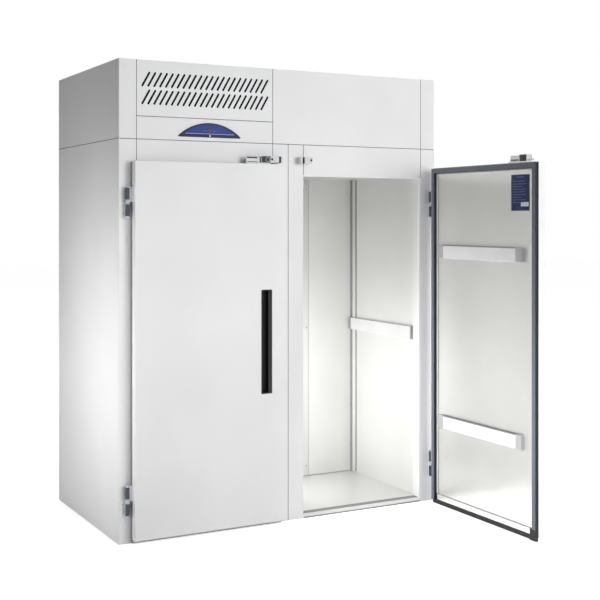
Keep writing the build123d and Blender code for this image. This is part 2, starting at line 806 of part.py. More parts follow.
shroud_y = (coil_y[1], coil_y[1] + shroud_t)
collar_back = shroud_y[1] + collar_l
with BuildPart() as fan_shroud:
    cuboid(coil_x, shroud_y, coil_z)
    with Locations(Plane((coil_mid[0], shroud_y[0], coil_mid[1]), z_dir=(0, 1, 0))):
        Cylinder(collar_r + collar_t, shroud_t + collar_l, align=on_plane)
        Hole(collar_r, shroud_t + collar_l, mode=Mode.SUBTRACT)
save(fan_shroud, "fan_shroud")


def fan_wheel(radius, hub_radius, chord):
    # A hub bored for its shaft with pitched blades, centred on the working plane.
    Cylinder(hub_radius, hub_l)
    root = hub_radius - blade_t
    with PolarLocations((root + radius) / 2, blade_count):
        Box(radius - root, chord, blade_t, rotation=(blade_pitch, 0, 0))
    Cylinder(shaft_r + running_gap, chord, mode=Mode.SUBTRACT)


def motor(radius, length):
    # A motor can on the working plane with its shaft pointing the other way, into the hub.
    Cylinder(radius, length, align=on_plane)
    fillet(edges(Select.LAST).filter_by(GeomType.CIRCLE), motor_edge_r)
    Cylinder(shaft_r, fan_gap + hub_l - shaft_end, align=(Align.CENTER, Align.CENTER, Align.MAX))


condenser_fan_y = collar_back - fan_gap - hub_l / 2
with BuildPart(Plane((coil_mid[0], condenser_fan_y, coil_mid[1]), z_dir=(0, 1, 0))) as condenser_fan:
    fan_wheel(condenser_fan_r, condenser_hub_r, condenser_chord)
save(condenser_fan, "condenser_fan")

evaporator_motor_z = roof_bottom - evaporator_motor_l
evaporator_fan_z = evaporator_motor_z - fan_gap - hub_l / 2
for side, hand in ((-1, "left"), (1, "right")):
    with BuildPart(Plane((side * bay_mid, evaporator_fan_y, evaporator_fan_z))) as evaporator_fan:
        fan_wheel(evaporator_fan_r, evaporator_hub_r, evaporator_chord)
    save(evaporator_fan, f"evaporator_fan_{hand}")

# Fan motors: one on four arms across the shroud's collar, two hung from the roof
with BuildPart() as fan_motors:
    with Locations(Plane((coil_mid[0], collar_back, coil_mid[1]), z_dir=(0, 1, 0))):
        motor(condenser_motor_r, condenser_motor_l)
        Box(2 * (collar_r + collar_t), arm_w, arm_t, rotation=(0, 0, 45), align=on_plane)
        Box(2 * (collar_r + collar_t), arm_w, arm_t, rotation=(0, 0, -45), align=on_plane)
    for side in (-1, 1):
        with Locations((side * bay_mid, evaporator_fan_y, evaporator_motor_z)):
            motor(evaporator_motor_r, evaporator_motor_l)
save(fan_motors, "fan_motors")

compressor_at = (tray_x[0] + compressor_x, tray_y[0] + compressor_y)
compressor_top = tray_top + compressor_foot_t + compressor_h
with BuildPart() as compressor:
    with Locations((*compressor_at, tray_top + compressor_foot_t)):
        Cylinder(compressor_r, compressor_h, align=on_plane)
    fillet(edges().filter_by(GeomType.CIRCLE).sort_by(Axis.Z)[-1], compressor_dome)
    with Locations((*compressor_at, tray_top)):
        Box(compressor_foot, compressor_foot, compressor_foot_t,
            align=on_plane)
save(compressor, "compressor")


receiver_at = (tray_x[0] + receiver_x, tray_y[0] + receiver_y)
coil_port_x = coil_x[1] + end_plate_t + pipe_gap
coil_port_y = (coil_y[0] + coil_y[1]) / 2
discharge_z = coil_z[1] - pipe_inset
liquid_z = coil_z[0] + pipe_inset
suction_z = compressor_top - compressor_h / 2
riser_x = coil_port_x + riser_gap
feed_x = receiver_at[0] + feed_reach
feed_y = tray_y[1] - feed_inset
feed_z = tray_top + receiver_h + feed_rise
discharge_line = ((*compressor_at, compressor_top + pipe_gap),
                  (*compressor_at, discharge_z),
                  (riser_x, compressor_at[1], discharge_z),
                  (riser_x, coil_port_y, discharge_z),
                  (coil_port_x, coil_port_y, discharge_z))
liquid_line = ((coil_port_x, coil_port_y, liquid_z),
               (riser_x, coil_port_y, liquid_z),
               (riser_x, receiver_at[1], liquid_z),
               (receiver_at[0] + receiver_r + pipe_gap, receiver_at[1], liquid_z))
feed_line = ((*receiver_at, tray_top + receiver_h + pipe_gap),
             (*receiver_at, feed_z),
             (feed_x, receiver_at[1], feed_z),
             (feed_x, feed_y, feed_z),
             (feed_x, feed_y, tray_top))
suction_line = ((compressor_at[0], compressor_at[1] + compressor_r + pipe_gap, suction_z),
                (compressor_at[0], feed_y, suction_z),
                (compressor_at[0], feed_y, tray_top))

with BuildPart() as pipework:
    for corners in (discharge_line, liquid_line, feed_line, suction_line):
        with BuildLine() as route:
            FilletPolyline(*corners, radius=pipe_bend_r)
        with BuildSketch(Plane(route.line @ 0, z_dir=route.line % 0)):
            Circle(pipe_r)
        sweep()
    with Locations((*receiver_at, tray_top)):
        Cylinder(receiver_r, receiver_h, align=on_plane)
    fillet(edges(Select.LAST).filter_by(GeomType.CIRCLE).sort_by(Axis.Z)[-1], receiver_dome)
save(pipework, "pipework")

# Control box, and a gland in the cover's back panel for the supply cable

control_x = (gland_x - box_l / 2, gland_x + box_l / 2)
control_y = (tray_y[1] - box_rear_gap - box_w / 2, tray_y[1] - box_rear_gap + box_w / 2)
with BuildPart() as control_box:
    cuboid(control_x, control_y, (tray_top, tray_top + box_h))
    fillet(edges(), bend_r)
    with Locations(Plane((gland_x, rear, deck_h + gland_z), z_dir=(0, -1, 0))):
        Cylinder(gland_r, sheet_t, align=on_plane)
        with Locations((0, 0, sheet_t)):
            Cylinder(gland_nut_r, gland_nut_t, align=on_plane)
save(control_box, "control_box")

# Evaporator coils behind the rear panels

evaporator_mid = (duct_front + inner_rear) / 2
evaporator_y = (evaporator_mid - evaporator_d / 2, evaporator_mid + evaporator_d / 2)
evaporator_z = (ceiling_z - evaporator_drop - evaporator_h, ceiling_z - evaporator_drop)
with BuildPart() as evaporator_coils:
    for side in (-1, 1):
        evaporator_x = side_span(side, bay_near + evaporator_inset, inner_x - evaporator_inset)
        with BuildSketch(Plane.XY.offset(evaporator_z[0])):
            fin_comb(evaporator_x, evaporator_y)
        extrude(amount=evaporator_h)
        end_plates(evaporator_x, (duct_front + sheet_t, inner_rear), evaporator_z)
save(evaporator_coils, "evaporator_coils")
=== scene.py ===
import json
import math

import bmesh
import bpy
import numpy as np
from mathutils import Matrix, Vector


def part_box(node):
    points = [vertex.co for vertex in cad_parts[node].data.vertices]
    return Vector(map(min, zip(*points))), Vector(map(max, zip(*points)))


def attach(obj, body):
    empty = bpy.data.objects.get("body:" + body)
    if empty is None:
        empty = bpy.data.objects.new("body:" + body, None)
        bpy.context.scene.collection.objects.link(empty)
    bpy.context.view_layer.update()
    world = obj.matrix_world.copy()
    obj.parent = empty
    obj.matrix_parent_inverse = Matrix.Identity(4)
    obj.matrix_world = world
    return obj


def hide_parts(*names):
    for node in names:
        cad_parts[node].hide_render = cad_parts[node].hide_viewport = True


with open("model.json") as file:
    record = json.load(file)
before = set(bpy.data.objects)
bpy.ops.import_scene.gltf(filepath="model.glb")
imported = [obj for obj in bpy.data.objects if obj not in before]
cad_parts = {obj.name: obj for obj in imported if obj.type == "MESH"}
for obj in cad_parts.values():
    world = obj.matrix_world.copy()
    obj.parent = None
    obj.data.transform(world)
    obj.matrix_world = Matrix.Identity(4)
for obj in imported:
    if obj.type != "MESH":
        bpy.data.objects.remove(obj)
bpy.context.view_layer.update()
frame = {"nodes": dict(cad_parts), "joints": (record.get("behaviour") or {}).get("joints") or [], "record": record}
nodes = frame["nodes"]
pivot = {j["name"]: np.array(j["pos_m"]) for j in frame["joints"] if "pos_m" in j}
mm = 0.001
print("frame loaded")

# camera, fitted to the straight edges of the photo
view = {"place": (-2.8338, -5.435, 1.6031), "heading": -26.66, "lens": 64.18, "shift": (0.1167, -0.134)}
camera = bpy.data.objects.new("camera", bpy.data.cameras.new("camera"))
camera.location = view["place"]
camera.rotation_euler = (math.radians(90), 0, math.radians(view["heading"]))
camera.data.lens = view["lens"]
camera.data.shift_x, camera.data.shift_y = view["shift"]
camera.data.clip_end = 200
bpy.context.scene.collection.objects.link(camera)
bpy.context.scene.camera = camera
bpy.context.scene.view_settings.view_transform = "Standard"

# studio: white all round for the eye, plain soft light for the object
studio = {
    "fill": 0.05,
    "floorColour": 0.8, "floorLift": (0.66, 0.95), "floorLiftFrom": (2.4, 5.5), "floorSize": 60.0,
    # name: (place, aims at, width, height, watts, cone in degrees)
    "lamps": {
        "high": ((0.5, -6.0, 4.5), (0.0, -0.5, 1.4), 4.0, 3.0, 100, 180),
        "key": ((2.6, -6.0, 2.4), (0.0, -0.5, 1.3), 2.5, 2.5, 168, 180),
        "side": ((-3.0, -1.0, 1.0), (-0.96, -0.3, 1.1), 0.8, 0.8, 3.4, 60),
        "low": ((-3.2, -0.9, 0.45), (-0.96, -0.2, 0.6), 0.9, 0.7, 3.0, 60),
        "door": ((-0.2, -1.7, 0.55), (0.9, -1.25, 0.55), 0.9, 0.8, 4.7, 90),
        "bay": ((0.16, -0.1, 0.6), (0.9, -0.1, 0.5), 0.5, 0.8, 5.2, 180),
        "back": ((1.0, 6.5, 3.5), (0.0, 0.5, 1.3), 4.0, 3.0, 220, 180),
        "right": ((6.5, 1.5, 2.8), (0.96, 0.0, 1.2), 3.0, 3.0, 160, 180),
        "post": ((2.04, -1.68, 0.85), (0.94, -0.48, 0.85), 0.35, 1.5, 0.9, 40),
        "top": ((0.0, 0.6, 6.5), (0.0, 0.2, 2.4), 4.0, 3.0, 90, 180),
    },
}


def colourOf(screen, share=1.0):
    # screen values 0 to 255 made linear, then lighter or darker by share, short of a pure white
    s = np.array(screen) / 255
    linear = np.where(s <= 0.04045, s / 12.92, ((s + 0.055) / 1.055) ** 2.4)
    return (*np.minimum(linear * share, 0.98), 1.0)


def seenDirectly(tree):
    # 1 for camera, mirror and glass rays, 0 for light that bounces
    path = tree.nodes.new("ShaderNodeLightPath")
    seen = path.outputs["Is Camera Ray"]
    for ray in ("Is Glossy Ray", "Is Transmission Ray"):
        either = tree.nodes.new("ShaderNodeMath")
        either.operation = "MAXIMUM"
        tree.links.new(seen, either.inputs[0])
        tree.links.new(path.outputs[ray], either.inputs[1])
        seen = either.outputs[0]
    return seen


def objectPlace(tree):
    return tree.nodes.new("ShaderNodeTexCoord").outputs["Object"]


def makeWorld():
    world = bpy.data.worlds.new("studio")
    bpy.context.scene.world = world
    world.use_nodes = True
    tree = world.node_tree
    tree.nodes.clear()
    out = tree.nodes.new("ShaderNodeOutputWorld")
    mix = tree.nodes.new("ShaderNodeMixShader")
    tree.links.new(seenDirectly(tree), mix.inputs[0])
    for socket, strength in ((1, studio["fill"]), (2, 1.0)):
        light = tree.nodes.new("ShaderNodeBackground")
        light.inputs["Color"].default_value = (1, 1, 1, 1)
        light.inputs["Strength"].default_value = strength
        tree.links.new(light.outputs[0], mix.inputs[socket])
    tree.links.new(mix.outputs[0], out.inputs["Surface"])


def makeLamps():
    for name, (place, target, width, height, watts, cone) in studio["lamps"].items():
        lamp = bpy.data.lights.new(name, "AREA")
        lamp.shape = "RECTANGLE"
        lamp.size, lamp.size_y = width, height
        lamp.energy = watts
        lamp.spread = math.radians(cone)
        holder = bpy.data.objects.new(name, lamp)
        away = np.array(place) - np.array(target)
        flat = math.hypot(away[0], away[1])
        holder.location = place
        holder.rotation_euler = (math.atan2(flat, away[2]), 0, math.atan2(away[0], -away[1]))
        holder.visible_camera = False
        holder.visible_glossy = False
        bpy.context.scene.collection.objects.link(holder)


def makeFloor():
    half = studio["floorSize"] / 2
    mesh = bpy.data.meshes.new("studioFloor")
    corners = [(-half, -half, 0), (half, -half, 0), (half, half, 0), (-half, half, 0)]
    mesh.from_pydata(corners, [], [(0, 1, 2, 3)])
    floor = bpy.data.objects.new("studioFloor", mesh)
    bpy.context.scene.collection.objects.link(floor)
    material = bpy.data.materials.new("studioFloor")
    material.use_nodes = True
    tree = material.node_tree
    tree.nodes.clear()
    out = tree.nodes.new("ShaderNodeOutputMaterial")
    paper = tree.nodes.new("ShaderNodeBsdfDiffuse")
    paper.inputs["Color"].default_value = (*[studio["floorColour"]] * 3, 1)
    lift = tree.nodes.new("ShaderNodeEmission")
    strength = tree.nodes.new("ShaderNodeMath")
    strength.operation = "MULTIPLY"
    # the paper's own white grows with the distance from the middle, so the shadow stays near the object
    reach = tree.nodes.new("ShaderNodeVectorMath")
    reach.operation = "LENGTH"
    lifted = tree.nodes.new("ShaderNodeMapRange")
    lifted.interpolation_type = "SMOOTHSTEP"
    lifted.inputs["From Min"].default_value, lifted.inputs["From Max"].default_value = studio["floorLiftFrom"]
    lifted.inputs["To Min"].default_value, lifted.inputs["To Max"].default_value = studio["floorLift"]
    tree.links.new(objectPlace(tree), reach.inputs[0])
    tree.links.new(reach.outputs["Value"], lifted.inputs["Value"])
    tree.links.new(lifted.outputs["Result"], strength.inputs[1])
    tree.links.new(seenDirectly(tree), strength.inputs[0])
    tree.links.new(strength.outputs[0], lift.inputs["Strength"])
    add = tree.nodes.new("ShaderNodeAddShader")
    tree.links.new(paper.outputs[0], add.inputs[0])
    tree.links.new(lift.outputs[0], add.inputs[1])
    tree.links.new(add.outputs[0], out.inputs["Surface"])
    mesh.materials.append(material)


makeWorld()
makeLamps()
makeFloor()
print("camera and studio ready")


# materials

def startMaterial(name):
    material = bpy.data.materials.new(name)
    material.use_nodes = True
    tree = material.node_tree
    return material, tree, tree.nodes["Principled BSDF"]


def noiseOver(tree, scale, stretch=(1, 1, 1), detail=3.0):
    # noise on object coordinates, drawn out along an axis by a small stretch number there
    mapping = tree.nodes.new("ShaderNodeMapping")
    mapping.inputs["Scale"].default_value = stretch
    noise = tree.nodes.new("ShaderNodeTexNoise")
    noise.inputs["Scale"].default_value = scale
    noise.inputs["Detail"].default_value = detail
    noise.inputs["Roughness"].default_value = 0.55
    tree.links.new(objectPlace(tree), mapping.inputs["Vector"])
    tree.links.new(mapping.outputs["Vector"], noise.inputs["Vector"])
    return noise.outputs["Fac"]


def blendColours(tree, factor, low, high, lowAt=0.3, highAt=0.7):
    ramp = tree.nodes.new("ShaderNodeValToRGB")
    ramp.color_ramp.elements[0].position = lowAt
    ramp.color_ramp.elements[0].color = low
    ramp.color_ramp.elements[1].position = highAt
    ramp.color_ramp.elements[1].color = high
    tree.links.new(factor, ramp.inputs["Fac"])
    return ramp.outputs["Color"]


def spread(tree, factor, low, high):
    # carries 0 to 1 over to low to high
    span = tree.nodes.new("ShaderNodeMapRange")
    span.inputs["To Min"].default_value = low
    span.inputs["To Max"].default_value = high
    tree.links.new(factor, span.inputs["Value"])
    return span.outputs["Result"]


def addBump(tree, shader, height, depth, strength=0.4):
    bump = tree.nodes.new("ShaderNodeBump")
    bump.inputs["Strength"].default_value = strength
    bump.inputs["Distance"].default_value = depth
    tree.links.new(height, bump.inputs["Height"])
    tree.links.new(bump.outputs["Normal"], shader.inputs["Normal"])


def cellsOver(tree, scale, randomness=1.0):
    # Voronoi cells on object coordinates, in a square grid at a randomness of 0
    cells = tree.nodes.new("ShaderNodeTexVoronoi")
    cells.inputs["Scale"].default_value = scale
    cells.inputs["Randomness"].default_value = randomness
    tree.links.new(objectPlace(tree), cells.inputs["Vector"])
    return cells.outputs


def dress(tree, shader, tone, polish, metallic=0.0):
    tree.links.new(tone, shader.inputs["Base Color"])
    tree.links.new(polish, shader.inputs["Roughness"])
    shader.inputs["Metallic"].default_value = metallic


def brushedSteel(name, colour, metallic, roughness):
    # sheet steel with fine grain drawn out up and down and faint broad clouds in its polish
    material, tree, shader = startMaterial(name)
    lines = noiseOver(tree, 900, (1, 1, 0.006), detail=2.0)
    clouds = noiseOver(tree, 1.7, detail=2.0)
    tone = blendColours(tree, clouds, colourOf(colour, 0.96), colourOf(colour, 1.03))
    dress(tree, shader, tone, spread(tree, lines, roughness - 0.05, roughness + 0.07), metallic)
    addBump(tree, shader, lines, 0.00004, 0.25)
    return material


def moulded(name, colour, roughness, pebble=1400, depth=0.00006, coat=0.0):
    # injection-moulded plastic with a fine spark-eroded grain
    material, tree, shader = startMaterial(name)
    grain = noiseOver(tree, pebble)
    broad = noiseOver(tree, 9, detail=2.0)
    tone = blendColours(tree, broad, colourOf(colour, 0.97), colourOf(colour, 1.02))
    dress(tree, shader, tone, spread(tree, grain, roughness - 0.06, roughness + 0.08))
    shader.inputs["Coat Weight"].default_value = coat
    addBump(tree, shader, grain, depth)
    return material


def cloudy(name, noise, low, high, polish, metallic=0.0, bump=None, at=(0.3, 0.7)):
    # one noise drives the tone from low to high, the roughness over polish, and the bump
    material, tree, shader = startMaterial(name)
    cloud = noiseOver(tree, *noise)
    tone = blendColours(tree, cloud, low, high, *at)
    dress(tree, shader, tone, spread(tree, cloud, *polish), metallic)
    if bump:
        addBump(tree, shader, cloud, *bump)
    return material


def softSeal(name, colour):
    # flexible vinyl, matt, with faint pulls along its length and a little dust
    pulls = (240, (1, 1, 0.25), 4.0)
    low, high = colourOf(colour, 0.82), colourOf(colour, 1.12)
    return cloudy(name, pulls, low, high, (0.5, 0.66), bump=(0.0001, 0.4))


def plated(name, colour, roughness):
    # bright nickel and chrome plate with a slight cast unevenness
    polish = (roughness, roughness + 0.06)
    low, high = colourOf(colour, 0.93), colourOf(colour)
    return cloudy(name, (60, (1, 1, 1), 2.0), low, high, polish, 1.0, (0.0002, 0.2))


def spangledZinc(name):
    # galvanised sheet: crystal flowers of slightly different greys
    material, tree, shader = startMaterial(name)
    split = tree.nodes.new("ShaderNodeSeparateColor")
    tree.links.new(cellsOver(tree, 55)["Color"], split.inputs["Color"])
    low, high = colourOf((150, 154, 158)), colourOf((186, 190, 194))
    tone = blendColours(tree, split.outputs[0], low, high, 0.0, 1.0)
    dress(tree, shader, tone, spread(tree, split.outputs[1], 0.34, 0.52), 0.85)
    return material


def drawnMetal(name, bright, dull, roughness):
    # tube stock, bright with dull cloudy patches
    low, high, polish = colourOf(dull), colourOf(bright), (roughness + 0.15, roughness)
    return cloudy(name, (26, (1, 1, 1), 5.0), low, high, polish, 1.0, (0.0001, 0.2), (0.38, 0.62))


def finStock(name):
    # fin edges and the shadow between them, as the one uneven grey that they make from a step away
    low, high = colourOf((88, 92, 96)), colourOf((132, 137, 141))
    return cloudy(name, (14, (1, 1, 1), 4.0), low, high, (0.36, 0.5), 0.9)


def dottedSteel(name, colour):
    # floor sheet: brushed, with a faint regular grid of pressed non-slip dots
    material, tree, shader = startMaterial(name)
    dots = cellsOver(tree, 42, 0)["Distance"]
    crowns = blendColours(tree, dots, colourOf(colour, 1.06), colourOf(colour, 0.9), 0.2, 0.32)
    lines = noiseOver(tree, 900, (0.006, 1, 1), detail=2.0)
    dress(tree, shader, crowns, spread(tree, lines, 0.3, 0.44), 0.35)
    addBump(tree, shader, crowns, 0.0004, 0.5)
    return material


def rigidFoam(name):
    # cut polyurethane: pale cream cells
    material, tree, shader = startMaterial(name)
    cells = cellsOver(tree, 420)["Distance"]
    tone = blendColours(tree, cells, colourOf((232, 219, 178)), colourOf((205, 186, 138)), 0, 0.6)
    tree.links.new(tone, shader.inputs["Base Color"])
    shader.inputs["Roughness"].default_value = 0.9
    addBump(tree, shader, cells, 0.0008)
    return material


finishes = {
    "outer_steel": brushedSteel("outerSteel", (236, 236, 237), 0.05, 0.45),
    "inner_steel": brushedSteel("innerSteel", (236, 236, 234), 0.35, 0.36),
    "zinc_steel": spangledZinc("zincSteel"),
    "foam": rigidFoam("foam"),
    "rail_white": moulded("railWhite", (229, 229, 229), 0.42),
    "gasket_grey": softSeal("gasketGrey", (104, 110, 119)),
    "wiper_black": softSeal("wiperBlack", (30, 31, 33)),
    "pull_black": moulded("pullBlack", (12, 10, 10), 0.5, depth=0.0001),
    "latch_chrome": plated("latchChrome", (214, 215, 216), 0.12),
    "hinge_grey": moulded("hingeGrey", (58, 62, 72), 0.38, coat=0.2),
    "screw_steel": plated("screwSteel", (196, 197, 198), 0.22),
    "display_blue": moulded("displayBlue", (12, 22, 64), 0.35, depth=0.00002, coat=0.1),
    "window_red": moulded("windowRed", (92, 14, 14), 0.14, depth=0.00001, coat=1.0),
    "button_white": moulded("buttonWhite", (238, 240, 244), 0.35),
    "fin_aluminium": finStock("finStock"),
    "copper": drawnMetal("copper", (196, 116, 78), (126, 72, 50), 0.22),
    "black_enamel": moulded("blackEnamel", (24, 24, 25), 0.3, pebble=320, depth=0.0003, coat=0.4),
    "filter_black": moulded("filterBlack", (5, 5, 5), 0.9, pebble=900, depth=0.0006),
    "fan_black": moulded("fanBlack", (28, 29, 30), 0.4),
    "motor_grey": brushedSteel("motorGrey", (122, 124, 127), 0.6, 0.45),
    "box_grey": moulded("boxGrey", (176, 178, 176), 0.5),
}


for part in frame["record"]["subparts"]:
    sheet = nodes[part["node"]].data
    sheet.materials.clear()
    sheet.materials.append(finishes[part["material_slot"]])

# finishes of single nodes: polished door liners, dotted floors, grey corner trims, bare hinge leaves
doorSteel = brushedSteel("doorSteel", (236, 236, 234), 0.7, 0.22)
ownFinish = {
    "left_door_liner": doorSteel, "right_door_liner": doorSteel,
    "floor_pans": dottedSteel("floorSteel", (232, 232, 230)),
    "corner_trims": softSeal("trimGrey", (172, 172, 175)),
    **dict.fromkeys(("hinge_frame_halves", "left_hinge_door_halves", "right_hinge_door_halves"),
                    finishes["outer_steel"]),
}
for name, finish in ownFinish.items():
    nodes[name].data.materials[0] = finish
print("finishes set on", len(nodes), "nodes")


# shapes, each worked out as whole arrays of points, rows by columns, in millimetres

def spanOf(name):
    # lowest and highest corner of a CAD node at rest, in millimetres
    low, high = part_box(name)
    return np.array(low) / mm, np.array(high) / mm


def roundedLoop(width, height, radius, perCorner=6):
    # corner k: its centre (+-(width/2 - r), +-(height/2 - r)) + r (cos t, sin t), t = 90 k .. 90 (k + 1)
    t = np.radians(np.arange(4)[:, None] * 90 + np.linspace(0, 90, perCorner))
    a = np.array([1, -1, -1, 1])[:, None] * (width / 2 - radius) + radius * np.cos(t)
    b = np.array([1, 1, -1, -1])[:, None] * (height / 2 - radius) + radius * np.sin(t)
    return np.stack([a.ravel(), b.ravel()], -1)


def padOn(loop, thick, edge, steps=4):
    # a flat plate: P(u, v) = loop(v) - inset(u) outward(v) at height(u), its upper edge a quarter round
    ahead, behind = np.roll(loop, -1, 0), np.roll(loop, 1, 0)
    along = ahead - behind
    outward = np.stack([along[:, 1], -along[:, 0]], -1)
    outward /= np.maximum(np.linalg.norm(outward, axis=1, keepdims=True), 1e-9)
    t = np.linspace(0, np.pi / 2, steps)
    inset = np.concatenate([[0], edge * (1 - np.cos(t))])
    height = np.concatenate([[0], thick - edge + edge * np.sin(t)])
    flat = loop[None] - inset[:, None, None] * outward[None]
    rows = np.concatenate([flat, np.broadcast_to(height[:, None, None], flat.shape[:2] + (1,))], -1)
    middle = loop.mean(0)
    foot = np.broadcast_to([middle[0], middle[1], 0.0], rows[:1].shape)
    crown = np.broadcast_to([middle[0], middle[1], thick], rows[:1].shape)
    rows = np.concatenate([foot, rows, crown], 0)
    return np.concatenate([rows, rows[:, :1]], 1)


def plateOf(wide, tall, corner, thick, edge, around=3, steps=3):
    return padOn(roundedLoop(wide, tall, corner, around), thick, edge, steps)


def turnedOn(profile, sides=32):
    # a profile (radius, height) spun about its axis: P(u, v) = (r(u) cos v, r(u) sin v, h(u))
    profile = np.array(profile, float)
    v = np.linspace(0, 2 * np.pi, sides + 1)
    reach, rise = profile[:, :1], profile[:, 1:] + 0 * v
    return np.stack([reach * np.cos(v), reach * np.sin(v), rise], -1)


def screwOn(radius, tall):
    # a pan head with a cross recess: the recess has radius r0 (1 + 0.4 cos 4 v)
    v = np.linspace(0, 2 * np.pi, 33)
    rise = np.array([0, 0, 0.45, 0.8, 1.0, 0.35, 0.35])
    reach = np.array([0, 1, 0.97, 0.8, 0.42, 0.34, 0])
    cross = np.array([0, 0, 0, 0, 0.4, 0.4, 0])
    r = radius * reach[:, None] * (1 + cross[:, None] * np.cos(4 * v))
    return np.stack([r * np.cos(v), r * np.sin(v), tall * rise[:, None] + 0 * v], -1)


def wireRing(radius, wire, around=48, sides=8):
    # a torus: P(u, v) = ((R + r cos v) cos u, (R + r cos v) sin u, r sin v)
    u = np.linspace(0, 2 * np.pi, around + 1)[:, None]
    v = np.linspace(0, 2 * np.pi, sides + 1)[None]
    reach = radius + wire * np.cos(v) + 0 * u
    rise = wire * np.sin(v) + 0 * u
    return np.stack([reach * np.cos(u), reach * np.sin(u), rise], -1)


def closeEnds(rows):
    # each row is a section: its last point meets its first, and the end sections run in to their own means
    caps = np.broadcast_to(rows[[0, -1]].mean(1, keepdims=True), (2,) + rows.shape[1:])
    rows = np.concatenate([caps[:1], rows, caps[1:]], 0)
    return np.concatenate([rows, rows[:, :1]], 1)


def tubeAlong(path, radius, sides=10):
    # P(u, v) = path(u) + r (cos v N(u) + sin v B(u)); both ends run in to the path's own end points
    along = np.gradient(path, axis=0)
    along /= np.linalg.norm(along, axis=1, keepdims=True)
    spare = np.where(np.abs(along[:, 2:]) > 0.9, [[1.0, 0, 0]], [[0, 0, 1.0]])
    across = np.cross(along, spare)
    across /= np.linalg.norm(across, axis=1, keepdims=True)
    upward = np.cross(along, across)
    v = np.linspace(0, 2 * np.pi, sides + 1)[None, :, None]
    body = path[:, None] + radius * (np.cos(v) * across[:, None] + np.sin(v) * upward[:, None])
    ends = np.broadcast_to(path[[0, -1], None], (2, sides + 1, 3))
    return np.concatenate([ends[:1], body, ends[1:]], 0)


def placed(points, origin, across, upward):
    # local (a, b, h) to origin + a across + b upward + h (across x upward)
    across, upward = np.array(across, float), np.array(upward, float)
    axes = np.stack([across, upward, np.cross(across, upward)])
    return np.array(origin, float) + points @ axes


def upright(points, origin, out=-1):
    # local (a, b, h) stood up at origin: a along x, b up, h to the front, or to the back with out = 1
    return np.array(origin, float) + points[..., [0, 2, 1]] * [1, out, 1]


def onWall(points, side, wall, inward, y, z):
    # local (a, b, h) on a bay's side wall: a to the back, b up, h into the bay
    return np.stack([side * (wall + inward * points[..., 2]), points[..., 0] + y, points[..., 1] + z], -1)


def onDoor(points, side):
    # (d, y, z) on a shut door, d from the cabinet's middle, to where that door is at rest:
    # the left door is shut, the right one has turned a quarter about its pin
    d, y, z = points[..., 0], points[..., 1], points[..., 2]
    if side < 0:
        return np.stack([-d, y, z], -1)
    px, py = pivot["right_door_hinge"][:2] / mm
    return np.stack([px - (y - py), py + (d - px), z], -1)


def meshOf(name, patches):
    # every cell of a grid of points is one face; doubles are merged, then the faces are turned outwards
    faces, start = [], 0
    for grid in patches:
        index = start + np.arange(grid.shape[0] * grid.shape[1]).reshape(grid.shape[:2])
        cells = np.stack([index[:-1, :-1], index[:-1, 1:], index[1:, 1:], index[1:, :-1]], -1)
        faces.append(cells.reshape(-1, 4))
        start += index.size
    mesh = bpy.data.meshes.new(name)
    points = np.concatenate([grid.reshape(-1, 3) for grid in patches]) * mm
    mesh.from_pydata(points.tolist(), [], np.concatenate(faces).tolist())
    work = bmesh.new()
    work.from_mesh(mesh)
    bmesh.ops.remove_doubles(work, verts=work.verts, dist=1e-6)
    bmesh.ops.dissolve_degenerate(work, edges=work.edges, dist=1e-7)
    bmesh.ops.recalc_face_normals(work, faces=work.faces)
    work.to_mesh(mesh)
    work.free()
    mesh.polygons.foreach_set("use_smooth", np.ones(len(mesh.polygons), bool))
    mesh.set_sharp_from_angle(angle=math.radians(35))
    return mesh


def addPiece(name, patches, slot, finish=None, body="cabinet", stands=()):
    piece = bpy.data.objects.new(name, meshOf(name, patches))
    bpy.context.scene.collection.objects.link(piece)
    piece.data.materials.append(finish or finishes[slot])
    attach(piece, body)
    if stands:
        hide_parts(*stands)
    return piece


def addToDoor(side, name, shapes, slot, finish=None, body="door", stands=()):
    # shapes on a shut door, carried to that door and named after its hand
    hand = hands[side]
    return addPiece(hand + name, [onDoor(p, side) for p in shapes], slot, finish, f"{hand}_{body}", stands)


hands = {-1: "left", 1: "right"}
doorLow, doorHigh = spanOf("left_door_skin")
doorFar = -doorLow[0]      # distance of the hinge edge from the middle
doorInner = doorHigh[1]
front = spanOf("headers")[0][1]


# door gaskets: a magnetic seal round three sides of each door, pinched below its face

seal = {"width": 28.0, "pinch": 4.0, "neck": 10.0, "round": 3.0, "groove": 0.8, "grooveWidth": 3.0,
        "rimWidth": 8.0, "rimProud": 2.4, "rimGap": 1.0, "rimLift": 2.0, "shadedBelow": 0.9}


def sealSection(width, height):
    # one side: a = pinch sin^2(pi h / neck), then a quarter round; a flat face with a groove; then mirrored
    h = np.linspace(0, seal["neck"], 9)
    side = np.stack([seal["pinch"] * np.sin(np.pi * h / seal["neck"]) ** 2, h], -1)
    r = seal["round"]
    t = np.linspace(0, np.pi / 2, 5)
    corner = np.stack([r * (1 - np.cos(t)), height - r + r * np.sin(t)], -1)
    dip = np.array([[width / 2 - seal["grooveWidth"], height], [width / 2 - 1, height - seal["groove"]]])
    half = np.vstack([side, corner, dip])
    other = half[::-1] * [-1, 1] + [width, 0]
    return np.vstack([half, other])


def roundThreeSides(section, far, near, top, farFoot, nearFoot):
    # a section (a, h) carried up, over and down, a set in from the outer edge: four stations, mitred corners
    a, h = section[:, 0], section[:, 1]
    d = np.stack([far - a, far - a, near + a, near + a])
    z = np.stack([np.full_like(a, farFoot), top - a, top - a, np.full_like(a, nearFoot)])
    y = np.broadcast_to(doorInner + h, d.shape)
    return closeEnds(np.stack([d, y, z], -1))


